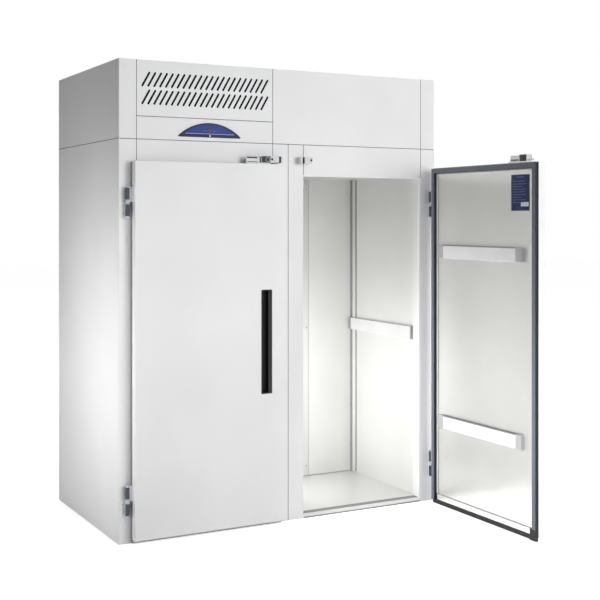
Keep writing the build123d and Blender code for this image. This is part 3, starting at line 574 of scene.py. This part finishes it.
def makeGasket(side):
    low, high = spanOf("left_door_gasket")
    near, far, top, foot = -high[0], -low[0], high[2], low[2]
    nearFoot = spanOf("left_door_wiper")[1][2]
    rows = roundThreeSides(sealSection(seal["width"], high[1] - doorInner), far, near, top, foot, nearFoot)
    piece = addToDoor(side, "Gasket", [rows], "gasket_grey", stands=[f"{hands[side]}_door_gasket"])
    # the seal's flanks, turned away from its face, take sealShade: a near-black painted shade
    piece.data.materials.append(sealShade)
    normals = np.zeros(len(piece.data.polygons) * 3)
    piece.data.polygons.foreach_get("normal", normals)
    facing = normals.reshape(-1, 3) @ ([0, 1, 0] if side < 0 else [-1, 0, 0])
    piece.data.polygons.foreach_set("material_index", (facing < seal["shadedBelow"]).astype(np.int32))
    # raised rim of the inner sheet, just inside the seal, in white: a painted highlight for the bright line along
    # the liner
    t = np.linspace(0, np.pi, 7)
    ridge = np.stack([seal["rimWidth"] / 2 * (1 - np.cos(t)), seal["rimProud"] * np.sin(t)], -1)
    inset = seal["width"] + seal["rimGap"]
    rimFoot = nearFoot + seal["rimLift"]
    rim = roundThreeSides(ridge + [inset, 0], far, near, top, rimFoot, rimFoot)
    addToDoor(side, "LinerRimHighlight", [rim], "rail_white")


# near-black painted shade for the seal's flanks
sealShade = softSeal("sealShade", (24, 27, 33))
for side in hands:
    makeGasket(side)
print("gaskets ready")


# display: a half-moon moulding with a lens, a light line under it and two lit digits

display = {
    "rim": 8.0, "band": 19.0, "line": 2.4, "lensProud": 0.4, "lineProud": 0.7, "bulge": 0.2,
    "lineShort": 3.0, "pane": (25.0, 13.5, 1.3), "digit": (4.2, 7.6), "stroke": 1.15, "gap": 2.2,
    "shown": "40", "segmentGap": 0.35, "segmentProud": 0.25,
    "ticks": 7, "tickPitch": 11.0, "tickSize": (5.0, 1.3), "tickLift": 33.0, "tickProud": 1.15,
    "tickClear": 20.0,
}
segmentsOf = {"0": "abcdef", "4": "fgbc"}


def halfMoon(chord, tall, inset, foot, columns=49, rows=9):
    # under an arc of radius (chord^2 / 4 + tall^2) / (2 tall): x = s c(foot), z = foot + v (arc(x) - foot)
    radius = (chord ** 2 / 4 + tall ** 2) / (2 * tall)
    drop = radius - tall
    reach = math.sqrt((radius - inset) ** 2 - (drop + foot) ** 2)
    s = np.linspace(-1, 1, columns)[None]
    v = np.linspace(0, 1, rows)[:, None]
    x = np.broadcast_to(reach * s, (rows, columns))
    arc = np.sqrt((radius - inset) ** 2 - x ** 2) - drop
    return x, foot + v * (arc - foot), v * (1 - v) * 4 * (1 - s ** 2)


def slabOf(a, b, thick):
    # a sheet of points (a, b) with its top at thick (a number or one for each point) and a flat foot at 0
    top = np.stack([a, b, np.broadcast_to(thick, a.shape)], -1)
    foot = np.stack([a, b, np.zeros_like(a)], -1)
    ring = [np.stack([foot[0], top[0]]), np.stack([foot[-1], top[-1]]),
            np.stack([foot[:, 0], top[:, 0]]), np.stack([foot[:, -1], top[:, -1]])]
    return [top, foot] + ring


def makeDisplay():
    low, high = spanOf("display_bezel")
    base = [(low[0] + high[0]) / 2, low[1], low[2]]
    x, z, swell = halfMoon(high[0] - low[0], high[2] - low[2], display["rim"], display["band"])
    lens = slabOf(x, z, display["lensProud"] + display["bulge"] * swell)
    reach = np.abs(x[0]).max() - display["lineShort"]
    run = np.linspace(-reach, reach, 49)
    levels = np.array([[display["band"] - display["line"]], [display["band"]]]) + 0 * run
    line = slabOf(np.stack([run, run]), levels, display["lineProud"])
    wide, tall = display["tickSize"]
    tick = plateOf(wide, tall, tall / 3, display["tickProud"], 0.15, 3, 2)
    offsets = (np.arange(display["ticks"]) - (display["ticks"] - 1) / 2) * display["tickPitch"]
    ticks = [tick + [a, display["tickLift"], 0] for a in offsets if abs(a) > display["tickClear"]]
    for name, patches, finish in (("displayLens", lens, lensBlue), ("displayLine", line, paleLine),
                                  ("displayTicks", ticks, paleLine)):
        addPiece(name, [upright(p, base) for p in patches], "display_blue", finish)


def makeDigits():
    low, high = spanOf("display_window")
    middle = [(low[0] + high[0]) / 2, low[1], (low[2] + high[2]) / 2]
    wide, tall, proud = display["pane"]
    pane = upright(plateOf(wide, tall, 1.6, proud, 0.3, 4), middle)
    addPiece("displayPane", [pane], "window_red")
    base = [middle[0], middle[1] - proud, middle[2]]
    w, h = display["digit"]
    t = display["stroke"]
    spots = {"a": (0, h / 2, 0), "g": (0, 0, 0), "d": (0, -h / 2, 0), "f": (-w / 2, h / 4, 1),
             "b": (w / 2, h / 4, 1), "e": (-w / 2, -h / 4, 1), "c": (w / 2, -h / 4, 1)}
    bars = []
    for k, number in enumerate(display["shown"]):
        shift = (k - 0.5) * (w + display["gap"])
        for letter in segmentsOf[number]:
            a, b, stands = spots[letter]
            run = (h / 2 if stands else w) - display["segmentGap"]
            half = run / 2 - t / 2
            bar = np.array([[-half - t / 2, 0], [-half, -t / 2], [half, -t / 2],
                            [half + t / 2, 0], [half, t / 2], [-half, t / 2]])
            bar = bar[:, ::-1] * [-1, 1] if stands else bar
            bars.append(upright(padOn(bar + [a + shift, b], display["segmentProud"], 0.08, 2), base))
    addPiece("displayDigits", bars, "window_red", litRed)


def glowing(name, colour, strength):
    # lit segment: its own light through a tinted face with a faint cloudiness
    material, tree, shader = startMaterial(name)
    cloud = noiseOver(tree, 500, detail=2.0)
    tone = blendColours(tree, cloud, colourOf(colour, 0.8), colourOf(colour))
    tree.links.new(tone, shader.inputs["Base Color"])
    shader.inputs["Emission Color"].default_value = colourOf(colour)
    shader.inputs["Emission Strength"].default_value = strength
    shader.inputs["Roughness"].default_value = 0.3
    return material


lensBlue = moulded("lensBlue", (26, 46, 124), 0.34, depth=0.00001, coat=0.1)
paleLine = moulded("paleLine", (176, 190, 230), 0.35, depth=0.00001)
litRed = glowing("litRed", (168, 26, 34), 0.12)
makeDisplay()
makeDigits()
print("display ready")


# hinges: grey blocks round each knuckle, a pale band between them and a cap at either end

hinge = {"half": 75.0, "split": 0.5, "bore": 9.1, "edge": 0.8, "block": (11.5, 70.5), "blockRadius": 10.6,
         "band": (0.7, 10.8), "bandRadius": 10.0, "cap": (72.0, 77.6), "capRadius": 9.6}


def ringProfile(bore, radius, low, high, edge):
    # a bored ring with eased outer edges, closed back on its first point
    return [(bore, low), (radius - edge, low), (radius, low + edge), (radius, high - edge),
            (radius - edge, high), (bore, high), (bore, low)]


def domeProfile(radius, low, high):
    # a short wall under a dome: r = R cos t, h = low + (high - low)(0.45 + 0.55 sin t)
    t = np.linspace(0, np.pi / 2, 6)
    rise = low + (high - low) * (0.45 + 0.55 * np.sin(t))
    crown = np.stack([radius * np.cos(t), rise], -1)
    return np.vstack([[0, low], [radius, low], crown])


def makeHinges():
    low, high = spanOf("left_hinge_door_halves")
    centres = (low[2] - hinge["split"], high[2] - hinge["half"])
    bore, edge = hinge["bore"], hinge["edge"]
    shapes = {
        "Blocks": (ringProfile(bore, hinge["blockRadius"], *hinge["block"], edge), hingeGrey),
        "Bands": (ringProfile(bore, hinge["bandRadius"], *hinge["band"], edge), nylon),
        "Caps": (domeProfile(hinge["capRadius"], *hinge["cap"]), nylon),
    }
    for kind, (profile, finish) in shapes.items():
        shape = turnedOn(profile)
        under = []
        for hand in hands.values():
            x, y = pivot[f"{hand}_door_hinge"][:2] / mm
            over = [shape + [x, y, z] for z in centres]
            under += [shape * [1, 1, -1] + [x, y, z] for z in centres]
            addPiece(f"{hand}DoorHinge{kind}", over, "hinge_grey", finish, f"{hand}_door")
        addPiece(f"frameHinge{kind}", under, "hinge_grey", finish)


hingeGrey = moulded("hingeBlock", (62, 67, 82), 0.4, coat=0.1)
nylon = moulded("nylon", (196, 202, 210), 0.45)
makeHinges()
print("hinges ready")


# bumper rails: a grey cap at each end, its grey a painted shade on the rails' end faces, and a dark strip along
# the top of the door rails, a painted dark reflection of their sloped top

rail = {"capLong": 44.0, "capRound": 7.0, "capEdge": 2.5, "capProud": 1.0, "lip": 5.0, "topReflectionProud": 0.7,
        "wallCap": 9.0, "wallCapRound": 2.0, "wallCapEdge": 1.2, "wallRailDeep": 22.0}


def railEnds(low, high, long):
    # middles of the two end caps along a rail from low to high
    return (low + long / 2 - rail["capProud"], high - long / 2 + rail["capProud"])


def makeDoorRailShades(side):
    low, high = spanOf("left_door_bumpers")
    near, far = -high[0], -low[0]
    tall, proud = railHeight, rail["capProud"]
    loop = roundedLoop(rail["capLong"], tall + 2 * proud, rail["capRound"])
    pad = padOn(loop, high[1] - doorInner + proud, rail["capEdge"])
    caps, lips = [], []
    for z in (low[2] + tall / 2, high[2] - tall / 2):
        for d in railEnds(near, far, rail["capLong"]):
            caps.append(upright(pad, [d, doorInner, z], 1))
        run = far - near - 2 * rail["capLong"] + 2 * proud
        # dark strip along the top of each rail: a painted dark reflection of the rail's sloped top
        lip = plateOf(run, rail["lip"], 1.0, high[1] - doorInner + rail["topReflectionProud"], 0.6)
        level = z + tall / 2 - rail["lip"] / 2 + rail["topReflectionProud"]
        lips.append(upright(lip, [(near + far) / 2, doorInner, level], 1))
    addToDoor(side, "DoorRailEndShades", caps, "rail_white", capShadeGrey)
    addToDoor(side, "DoorRailTopReflections", lips, "rail_white", topReflectionGrey)


def makeWallRailEndShades():
    low, high = spanOf("wall_bumpers")
    proud = rail["capProud"]
    loop = roundedLoop(rail["wallCap"], railHeight + 2 * proud, rail["wallCapRound"])
    pad = padOn(loop, rail["wallRailDeep"] + proud, rail["wallCapEdge"])
    z = (low[2] + high[2]) / 2
    caps = []
    for side in hands:
        for wall, inward in ((high[0], -1), (partitionFace, 1)):
            for y in railEnds(low[1], high[1], rail["wallCap"]):
                caps.append(onWall(pad, side, wall, inward, y, z))
    addPiece("wallRailEndShades", caps, "rail_white", capShadeGrey)


railHeight = spanOf("wall_bumpers")[1][2] - spanOf("wall_bumpers")[0][2]
partitionFace = spanOf("partition")[1][0]
# grey of the rail ends: painted shade
capShadeGrey = moulded("capShadeGrey", (176, 176, 178), 0.46)
# painted dark reflection along the door rails' tops
topReflectionGrey = moulded("topReflectionGrey", (128, 128, 130), 0.5)
for side in hands:
    makeDoorRailShades(side)
makeWallRailEndShades()
print("bumper rails ready")


# latches: housing covers, lock face and key slot, strips on the lever; the strikers' slots, dots and studs

latch = {
    "housing": 52.0, "aboveDoor": 5.0, "leverGap": 0.5, "cover": (0.6, 3.4, 0.8),
    "lockFrom": 16.0, "lockProud": 4.0, "face": (12.7, 0.06, 0.12), "ring": (11.2, 12.6, 0.18),
    "key": (1.6, 9.0, 0.7, 0.2), "leverEnds": (12.0, 4.0),
    # strips on the lever: height, corner, thickness; with each one's lift and distance from the middle
    "grip": (8.0, 1.6, 1.0), "gripAt": (-5.5, 4.0), "foot": (4.0, 1.6, 1.0), "footShadeAt": (3.5, 7.0),
    "back": (9.0, 2.5, 0.8), "backAt": (8.0, 7.0), "backShorter": 6.0,
    "slit": (10.6, 1.2, 0.6), "slitIn": 56.0, "slitSink": 4.0,
    "stud": (5.5, 6.0, 4.0), "dot": (6.5, 0.8, 9.0),
}


def makeLatch(side):
    low, high = spanOf("left_latch_body")
    leverLow, leverHigh = spanOf("left_latch_lever")
    foot = doorHigh[2] + latch["aboveDoor"]
    base = -leverHigh[0] - latch["leverGap"] - latch["housing"]
    level, middle = (foot + high[2]) / 2, base + latch["housing"] / 2
    # one cover shape for the housing's front and back
    inset, corner, thick = latch["cover"]
    wide, tall = latch["housing"] - 2 * inset, high[2] - foot - 2 * inset
    cover = plateOf(wide, tall, corner, thick, 0.5, 6)
    # dark face of the lock with a thin bright ring near its edge and the slot for the key
    radius, bevel, thick = latch["face"]
    plate = turnedOn([(0, 0), (radius, 0), (radius, bevel), (radius - bevel, thick), (0, thick)])
    inner, outer, thick = latch["ring"]
    ring = turnedOn(ringProfile(inner, outer, 0, thick, 0.05))
    slot = plateOf(*latch["key"][:3], latch["key"][3], 0.08, 3, 2)
    lock = [base + latch["lockFrom"], low[1], level]
    # black grip strip on the upper part of the lever, a dark strip along its foot as painted shade under the
    # lever, and a plate behind
    start, end = latch["leverEnds"][0] - leverHigh[0], -leverLow[0] - latch["leverEnds"][1]
    leverX, leverY = (start + end) / 2, (leverLow[1] + leverHigh[1]) / 2

    def bar(kind, shorter=0.0, edge=0.5):
        tall, corner, thick = latch[kind]
        return plateOf(end - start - shorter, tall, corner, thick, edge, 4)

    gripAt = [leverX, leverY - latch["gripAt"][1], leverHigh[2] + latch["gripAt"][0]]
    footShadeAt = [leverX, leverY - latch["footShadeAt"][1], leverLow[2] + latch["footShadeAt"][0]]
    backAt = [leverX, leverY + latch["backAt"][1], leverLow[2] + latch["backAt"][0]]
    pieces = (
        ("LatchCover", cover, [middle, low[1] + latch["lockProud"], level], -1, latchBlack, "door"),
        ("LatchBack", cover, [middle, high[1], level], 1, latchBlack, "door"),
        ("LockFace", plate, lock, -1, latchBlack, "door"),
        ("LockRing", ring, lock, -1, finishes["latch_chrome"], "door"),
        ("KeySlot", slot, lock, -1, latchPlate, "door"),
        ("LeverGrip", bar("grip"), gripAt, -1, latchBlack, "latch_lever"),
        ("LeverFootShade", bar("foot"), footShadeAt, -1, latchBlack, "latch_lever"),
        ("LeverBack", bar("back", latch["backShorter"], 0.3), backAt, 1, latchPlate, "latch_lever"),
    )
    for name, shape, place, out, finish, body in pieces:
        addToDoor(side, name, [upright(shape, place, out)], "latch_chrome", finish, body)


def makeStrikers():
    low, high = spanOf("strikers")
    far, level = high[0], (low[2] + high[2]) / 2
    wide, shorter, thick = latch["slit"]
    slit = plateOf(wide, high[2] - low[2] - shorter, 1.5, thick, 0.2, 3, 2)
    radius, long, lift = latch["stud"]
    stud = turnedOn(domeProfile(radius, 0, long))
    radius, tall, dotIn = latch["dot"]
    dot = turnedOn(domeProfile(radius, 0, tall), 24)
    slotShades, studs = [], []
    for side in hands:
        # black pad at the bottom of each striker's slit: painted shade in the slot
        slotShades.append(upright(slit, [side * (far - latch["slitIn"]), front - latch["slitSink"], level]))
        spot = [side * far, (low[1] + front) / 2, level + lift]
        studs.append(placed(stud, spot, (0, side, 0), (0, 0, 1)))
        studs.append(upright(dot, [side * (far - dotIn), low[1], level]))
    addPiece("strikerSlotShades", slotShades, "latch_chrome", latchBlack)
    addPiece("strikerStuds", studs, "latch_chrome", latchBlack)


latchBlack = moulded("latchBlack", (24, 24, 26), 0.32, coat=0.4)
latchPlate = moulded("latchPlate", (120, 122, 126), 0.3)
for side in hands:
    makeLatch(side)
makeStrikers()
print("latches ready")


# a plain instruction card with no words on the right door's inner face

card = {"fromHinge": (648.0, 783.0), "z": (1648.0, 1832.0), "thick": 0.5, "proud": 0.2,
        "title": (56.0, 4.2), "titleDrop": 12.0, "rowPitch": 13.5, "rowTall": 2.6, "firstRow": 34.0,
        "margin": 14.0, "box": (56.0, 22.0), "boxLift": 33.0, "boxIn": 7.0,
        "lengths": (84, 96, 70, 96, 88, 96, 60, 92, 78)}


def makeCard():
    d = [doorFar - f for f in card["fromHinge"]]
    middle = np.array([sum(d) / 2, doorInner, sum(card["z"]) / 2])
    wide, tall = d[0] - d[1], card["z"][1] - card["z"][0]

    def fixed(pad, a, b):
        # a runs to the free edge as the card is read, so it lowers d
        return onDoor(placed(pad, middle + [-a, 0, b], (-1, 0, 0), (0, 0, 1)), 1)

    sheet = plateOf(wide, tall, 3, card["thick"], 0.2, 6)
    raised = card["thick"] + card["proud"]
    title = plateOf(*card["title"], 1, raised, 0.1, 6, 2)
    prints = [fixed(title, 0, tall / 2 - card["titleDrop"])]
    for k, long in enumerate(card["lengths"]):
        row = plateOf(long, card["rowTall"], 0.9, raised, 0.1, 3, 2)
        level = tall / 2 - card["firstRow"] - k * card["rowPitch"]
        prints.append(fixed(row, (long - wide) / 2 + card["margin"], level))
    box = plateOf(*card["box"], 1, raised, 0.1, 6, 2)
    boxed = fixed(box, (wide - card["box"][0]) / 2 - card["boxIn"], card["boxLift"] - tall / 2)
    for name, patches, finish in (("instructionCard", [fixed(sheet, 0, 0)], cardBlue),
                                  ("cardLines", prints, cardPale), ("cardBox", [boxed], cardWhite)):
        addPiece(name, patches, "display_blue", finish, "right_door")


cardBlue = moulded("cardBlue", (10, 26, 72), 0.45, depth=0.00001)
cardPale = moulded("cardPale", (92, 110, 160), 0.5, depth=0.00001)
cardWhite = moulded("cardWhite", (214, 220, 234), 0.5, depth=0.00001)
makeCard()
print("card ready")


# joints between the front panels: a grey bead in the groove between two rounded edges, a painted shade for the
# shadow in the seam

joint = {"wide": 4.0, "sink": 0.12, "deep": 1.4, "endGap": 3.0, "topGap": 1.0,
         # the bead round the foot of the machine cover
         "coverWide": 3.6, "coverDeep": 0.55, "coverSink": 0.65, "coverFrom": 3.5, "coverGap": 5.0,
         "backGap": 2.0}


def beadAlong(x, z):
    # a flat-topped bead centred on a straight run of the front, its face just under the panels'
    size = [max(joint["wide"], run[1] - run[0]) for run in (x, z)]
    pad = plateOf(*size, 0.6, joint["deep"], 0.3, 3, 2)
    middle = [sum(x) / 2, front + joint["sink"] + joint["deep"], sum(z) / 2]
    return upright(pad, middle)


def makeJointShades():
    grilleLow, grilleHigh = spanOf("grille_panel")
    deck = spanOf("control_fascia")[0][2]
    split = grilleLow[2]
    headerLow = spanOf("headers")[0][2]
    left, middle = grilleLow[0], grilleHigh[0]
    top = grilleHigh[2] - joint["topGap"]
    half = spanOf("side_panel_right")[1][0]
    end = half - joint["endGap"]
    runs = [
        ((left, left), (headerLow, top)), ((-left, -left), (headerLow, top)),
        ((middle, middle), (headerLow, top)), ((-middle, -middle), (headerLow, deck)),
        ((left, middle), (split, split)), ((-end, end), (deck, deck)),
        ((0, 0), (spanOf("mullions")[0][2], deck)),
    ]
    addPiece("panelJointShades", [beadAlong(*run) for run in runs], "gasket_grey", jointShadeGrey)
    # the same painted-shade bead in the groove round the foot of the machine cover, on both sides and the back
    wide, deep = joint["coverWide"], joint["coverDeep"]
    z = deck + joint["wide"] / 2
    back = spanOf("canopy_back")[1][1]
    long = back - front - joint["coverGap"]
    pad = plateOf(long, wide, 0.6, deep, 0.2, 3, 2)
    middle = front + joint["coverFrom"] + long / 2
    x = half - joint["coverSink"]
    rounds = [placed(pad, [side * x, middle, z], (0, side, 0), (0, 0, 1)) for side in hands]
    pad = plateOf(2 * (half - joint["backGap"]), wide, 0.6, deep, 0.2, 3, 2)
    rounds.append(placed(pad, [0, back - joint["coverSink"], z], (-1, 0, 0), (0, 0, 1)))
    addPiece("coverJointShades", rounds, "gasket_grey", jointShadeGrey)


# grey of the joint beads: painted shade
jointShadeGrey = softSeal("jointShadeGrey", (96, 96, 98))
makeJointShades()
print("joints ready")


# thermal break strip round the hinge side and the top of each opening, a rounded edge in bright white: a painted
# highlight along the opening's edge

breaker = {"wide": 13.0, "deep": 9.0, "round": 1.6, "sink": 0.1, "topShare": 0.5}


def makeBreakerHighlights():
    # section: a flat foot at a = 0, two quarter rounds at a = wide; up the jamb, then under the header
    jamb = spanOf("thresholds")[1][0]
    near = spanOf("mullions")[1][0]
    top, foot = spanOf("headers")[0][2], spanOf("thresholds")[1][2]
    r = breaker["round"]
    t = np.linspace(0, np.pi / 2, 5)
    a = np.concatenate([[0], breaker["wide"] - r + r * np.sin(t), breaker["wide"] - r + r * np.cos(t), [0]])
    h = np.concatenate([[0], r - r * np.cos(t), breaker["deep"] - r + r * np.sin(t), [breaker["deep"]]])
    shapes = []
    for side in hands:
        x = side * np.stack([jamb - a, jamb - a, np.full_like(a, near)])
        z = np.stack([np.full_like(a, foot), top - breaker["topShare"] * a, top - breaker["topShare"] * a])
        y = np.broadcast_to(front + breaker["sink"] + h, x.shape)
        shapes.append(closeEnds(np.stack([x, y, z], -1)))
    addPiece("breakerHighlightStrips", shapes, "rail_white", breakerHighlightWhite)


# bright white for the strip: painted highlight
breakerHighlightWhite = moulded("breakerHighlightWhite", (252, 252, 252), 0.3, coat=0.3)
makeBreakerHighlights()


# foot of the doorway: a ribbed tread on each threshold, and a dark strip on its front lip: a painted contact
# shadow

tread = {"inset": 2.0, "base": 0.5, "rib": 0.5, "pitch": 5.4, "ribs": 8, "fromBack": 1.5,
         "lip": (7.0, 1.0, 0.3), "lipShadowLift": 4.0}


def makeTreads():
    # tread section: h = base + rib sin^2(pi y / pitch) over a flat foot, carried from side to side
    low, high = spanOf("thresholds")
    near, far = spanOf("mullions")[1][0] + tread["inset"], high[0] - tread["inset"]
    run = tread["pitch"] * tread["ribs"]
    y = np.linspace(0, run, tread["ribs"] * 6 + 1)
    h = tread["base"] + tread["rib"] * np.sin(np.pi * y / tread["pitch"]) ** 2
    y = np.concatenate([[0], y, [run]])
    h = np.concatenate([[0], h, [0]])
    ridge = np.stack([np.zeros_like(y), high[1] - tread["fromBack"] - y, high[2] + h], -1)
    tall, corner, thick = tread["lip"]
    lip = plateOf(far - near, tall, corner, thick, 0.1, 3, 2)
    treads, lips = [], []
    for side in hands:
        treads.append(closeEnds(np.stack([ridge + [side * x, 0, 0] for x in (near, far)])))
        lips.append(upright(lip, [side * (near + far) / 2, low[1], tread["lipShadowLift"]]))
    addPiece("thresholdTreads", treads, "gasket_grey", treadAndShadowGrey)
    # dark strip on the front of each threshold: painted contact shadow
    addPiece("thresholdLipShadows", lips, "gasket_grey", treadAndShadowGrey)


# grey of the tread, and of the painted contact shadow on the lip
treadAndShadowGrey = softSeal("treadAndShadowGrey", (140, 141, 144))
makeTreads()
print("doorways ready")


# inside each bay: a half-width cover sheet on the rear duct, with a turned lip in white as a painted highlight
# along its top edge, and its screws

cover = {"edge": 572.0, "clear": 13.0, "thick": 1.2, "lipTall": 11.0, "lipDeep": 9.0, "foot": 6.0,
         "screw": (4.2, 1.4), "screwFrom": (16.0, 60.0), "beadFrom": 1.5,
         # upright bands in the rear corners: how far each starts and ends in front of the duct, and how proud
         "shadeBand": (43.5, 57.0, 0.5), "ridge": (12.5, 43.0, 3.0), "bandShorter": 4.0, "bead": (2.0, 0.6)}


def makeDuctCovers():
    low, high = spanOf("duct_panels")
    face = low[1]
    near = partitionFace
    inner, outer = near + cover["clear"], cover["edge"]
    wide, tall, level = outer - inner, high[2] - low[2] - 2 * cover["foot"], (high[2] + low[2]) / 2
    sheet = plateOf(wide, tall, 1.5, cover["thick"], 0.6)
    lip = plateOf(wide, cover["lipTall"], 2, cover["lipDeep"], 2.5, 3, 4)
    lipLevel = high[2] - cover["foot"] - cover["lipTall"] / 2
    screw = screwOn(*cover["screw"])
    across, up = cover["screwFrom"]
    sheets, lips, screws = [], [], []
    for side in hands:
        middle = side * (inner + outer) / 2
        sheets.append(upright(sheet, [middle, face, level]))
        lips.append(upright(lip, [middle, face, lipLevel]))
        for x in (inner + across, outer - across):
            for z in (low[2] + up, level, high[2] - up):
                screws.append(upright(screw, [side * x, face - cover["thick"], z]))
    addPiece("ductCovers", sheets, "inner_steel")
    # the lip's white finish paints the highlight along the cover's top edge
    addPiece("ductCoverLipHighlights", lips, "inner_steel", finishes["rail_white"])
    addPiece("ductScrews", screws, "screw_steel")


def makeCornerBands():
    # a white ridge up each bay wall as a painted highlight, beside a grey band as painted shade, and a grey bead
    # beside the cover sheet as a painted shadow of its edge
    low, high = spanOf("duct_panels")
    face = low[1]
    middleZ, tall = (high[2] + low[2]) / 2, high[2] - low[2] - cover["bandShorter"]
    wide, thick = cover["bead"]
    bead = plateOf(wide, tall, 0.6, thick, 0.2, 3, 2)
    highlightStrips, shadeStrips = [], []
    for side in hands:
        for wall, inward in ((spanOf("wall_bumpers")[1][0], -1), (partitionFace, 1)):
            for (start, end, proud), keep in ((cover["ridge"], highlightStrips), (cover["shadeBand"], shadeStrips)):
                band = plateOf(end - start, tall, 0.6, proud, min(0.3 * proud, 1.0), 3, 4)
                keep.append(onWall(band, side, wall, inward, face - (start + end) / 2, middleZ))
        shadeStrips.append(upright(bead, [side * (cover["edge"] + cover["beadFrom"]), face, middleZ]))
    addPiece("cornerHighlightBands", highlightStrips, "rail_white")
    addPiece("cornerShadeBands", shadeStrips, "gasket_grey", valleyShadeGrey)


# grey for the corner bands and the bead by the cover: painted shade
valleyShadeGrey = softSeal("valleyShadeGrey", (148, 148, 150))
makeDuctCovers()
makeCornerBands()


# foot of each door: the screws of its wiper strip and the wiper's pale facing

strip = {"fromHinge": (150.0, 301.0, 528.0, 721.0), "z": 44.0, "proud": 9.0, "screw": (3.6, 1.3),
         "facing": (18.6, 2.0, 1.0), "facingZ": 12.5}


def makeStripScrews(side):
    head = screwOn(*strip["screw"])
    face = doorInner + strip["proud"]
    heads = [upright(head, [doorFar - run, face, strip["z"]], 1) for run in strip["fromHinge"]]
    addToDoor(side, "StripScrews", heads, "screw_steel")


def makeWiperFront(side):
    # pale facing on the front of the foot wiper, below the door
    low, high = spanOf("left_door_wiper")
    tall, corner, thick = strip["facing"]
    pad = plateOf(high[0] - low[0], tall, corner, thick, 0.4, 4)
    place = [-(low[0] + high[0]) / 2, low[1], strip["facingZ"]]
    addToDoor(side, "WiperFront", [upright(pad, place)], "wiper_black", facingGrey)


facingGrey = softSeal("facingGrey", (198, 198, 200))
for side in hands:
    makeStripScrews(side)
    makeWiperFront(side)
print("bays ready")


# machinery under the cover: fan guard, compressor fittings, control box lid

plant = {
    "guard": (58.0, 82.0, 106.0, 130.0, 151.0), "wire": 1.7, "guardGap": 1.0,
    "spokes": 6, "spokeFrom": 45.0, "spokeLift": 1.2,
    "compressorAt": (-300.0, 120.0), "seam": (98.6, 101.6, 9.0), "terminal": (58.0, 52.0, 38.0),
    "terminalAt": (88.0, 34.0), "boltAt": 98.0, "grommet": (11.0, 7.0), "grommetLift": 12.0,
    "bolt": (5.4, 3.0), "boltLift": 18.5,
    "lid": (150.0, 190.0, 2.4), "lidAt": (-705.0, 250.0, 2116.0), "lidScrew": (4.6, 2.0), "lidScrewIn": 10.0,
}


def makeGuard():
    # concentric wire rings and straight spokes over the fan's collar
    x, z = pivot["condenser_fan_spin"][0] / mm, pivot["condenser_fan_spin"][2] / mm
    plane = spanOf("fan_shroud")[1][1] + plant["guardGap"]
    wires = [upright(wireRing(r, plant["wire"]), [x, plane, z]) for r in plant["guard"]]
    reach = np.linspace(plant["spokeFrom"], plant["guard"][-1], 5)[:, None]
    for k in range(plant["spokes"]):
        t = 2 * np.pi * (k + 0.5) / plant["spokes"]
        way = np.array([np.cos(t), 0, np.sin(t)])
        path = [x, plane + plant["spokeLift"], z] + reach * way
        wires.append(tubeAlong(path, plant["wire"], 8))
    addPiece("fanGuard", wires, "screw_steel")


def makePlant():
    # the welded seam round the shell, the terminal cover on its side, a bolted grommet at each foot
    low, high = spanOf("compressor")
    x, y = plant["compressorAt"]
    middle = (high[2] + low[2]) / 2
    bore, radius, tall = plant["seam"]
    seam = turnedOn(ringProfile(bore, radius, -tall / 2, tall / 2, 1.2), 64) + [x, y, middle]
    addPiece("compressorSeam", [seam], "black_enamel")
    wide, tall, deep = plant["terminal"]
    out, up = plant["terminalAt"]
    box = plateOf(wide, tall, 8, deep, 6, 6, 5)
    box = placed(box, [x + out, y, middle + up], (0, 1, 0), (0, 0, 1))
    addPiece("terminalCover", [box], "black_enamel", finishes["fan_black"])
    radius, tall = plant["grommet"]
    grommet = turnedOn(domeProfile(radius, 0, tall), 24) + [x, y, low[2] + plant["grommetLift"]]
    head = screwOn(*plant["bolt"]) + [x, y, low[2] + plant["boltLift"]]
    at = plant["boltAt"]
    corners = [(-at, -at, 0), (-at, at, 0), (at, -at, 0), (at, at, 0)]
    addPiece("compressorGrommets", [grommet + c for c in corners], "black_enamel", finishes["fan_black"])
    addPiece("compressorBolts", [head + c for c in corners], "screw_steel")


def makeLid():
    wide, tall, thick = plant["lid"]
    x, y, z = plant["lidAt"]
    lid = plateOf(wide, tall, 5, thick, 0.8, 6)
    addPiece("controlLid", [placed(lid, [x, y, z], (0, 1, 0), (0, 0, 1))], "zinc_steel")
    a, b = wide / 2 - plant["lidScrewIn"], tall / 2 - plant["lidScrewIn"]
    head = screwOn(*plant["lidScrew"])
    heads = [placed(head, [x + thick, y + i, z + j], (0, 1, 0), (0, 0, 1)) for i in (-a, a) for j in (-b, b)]
    addPiece("lidScrews", heads, "screw_steel")


makeGuard()
makePlant()
makeLid()
print("machinery ready")
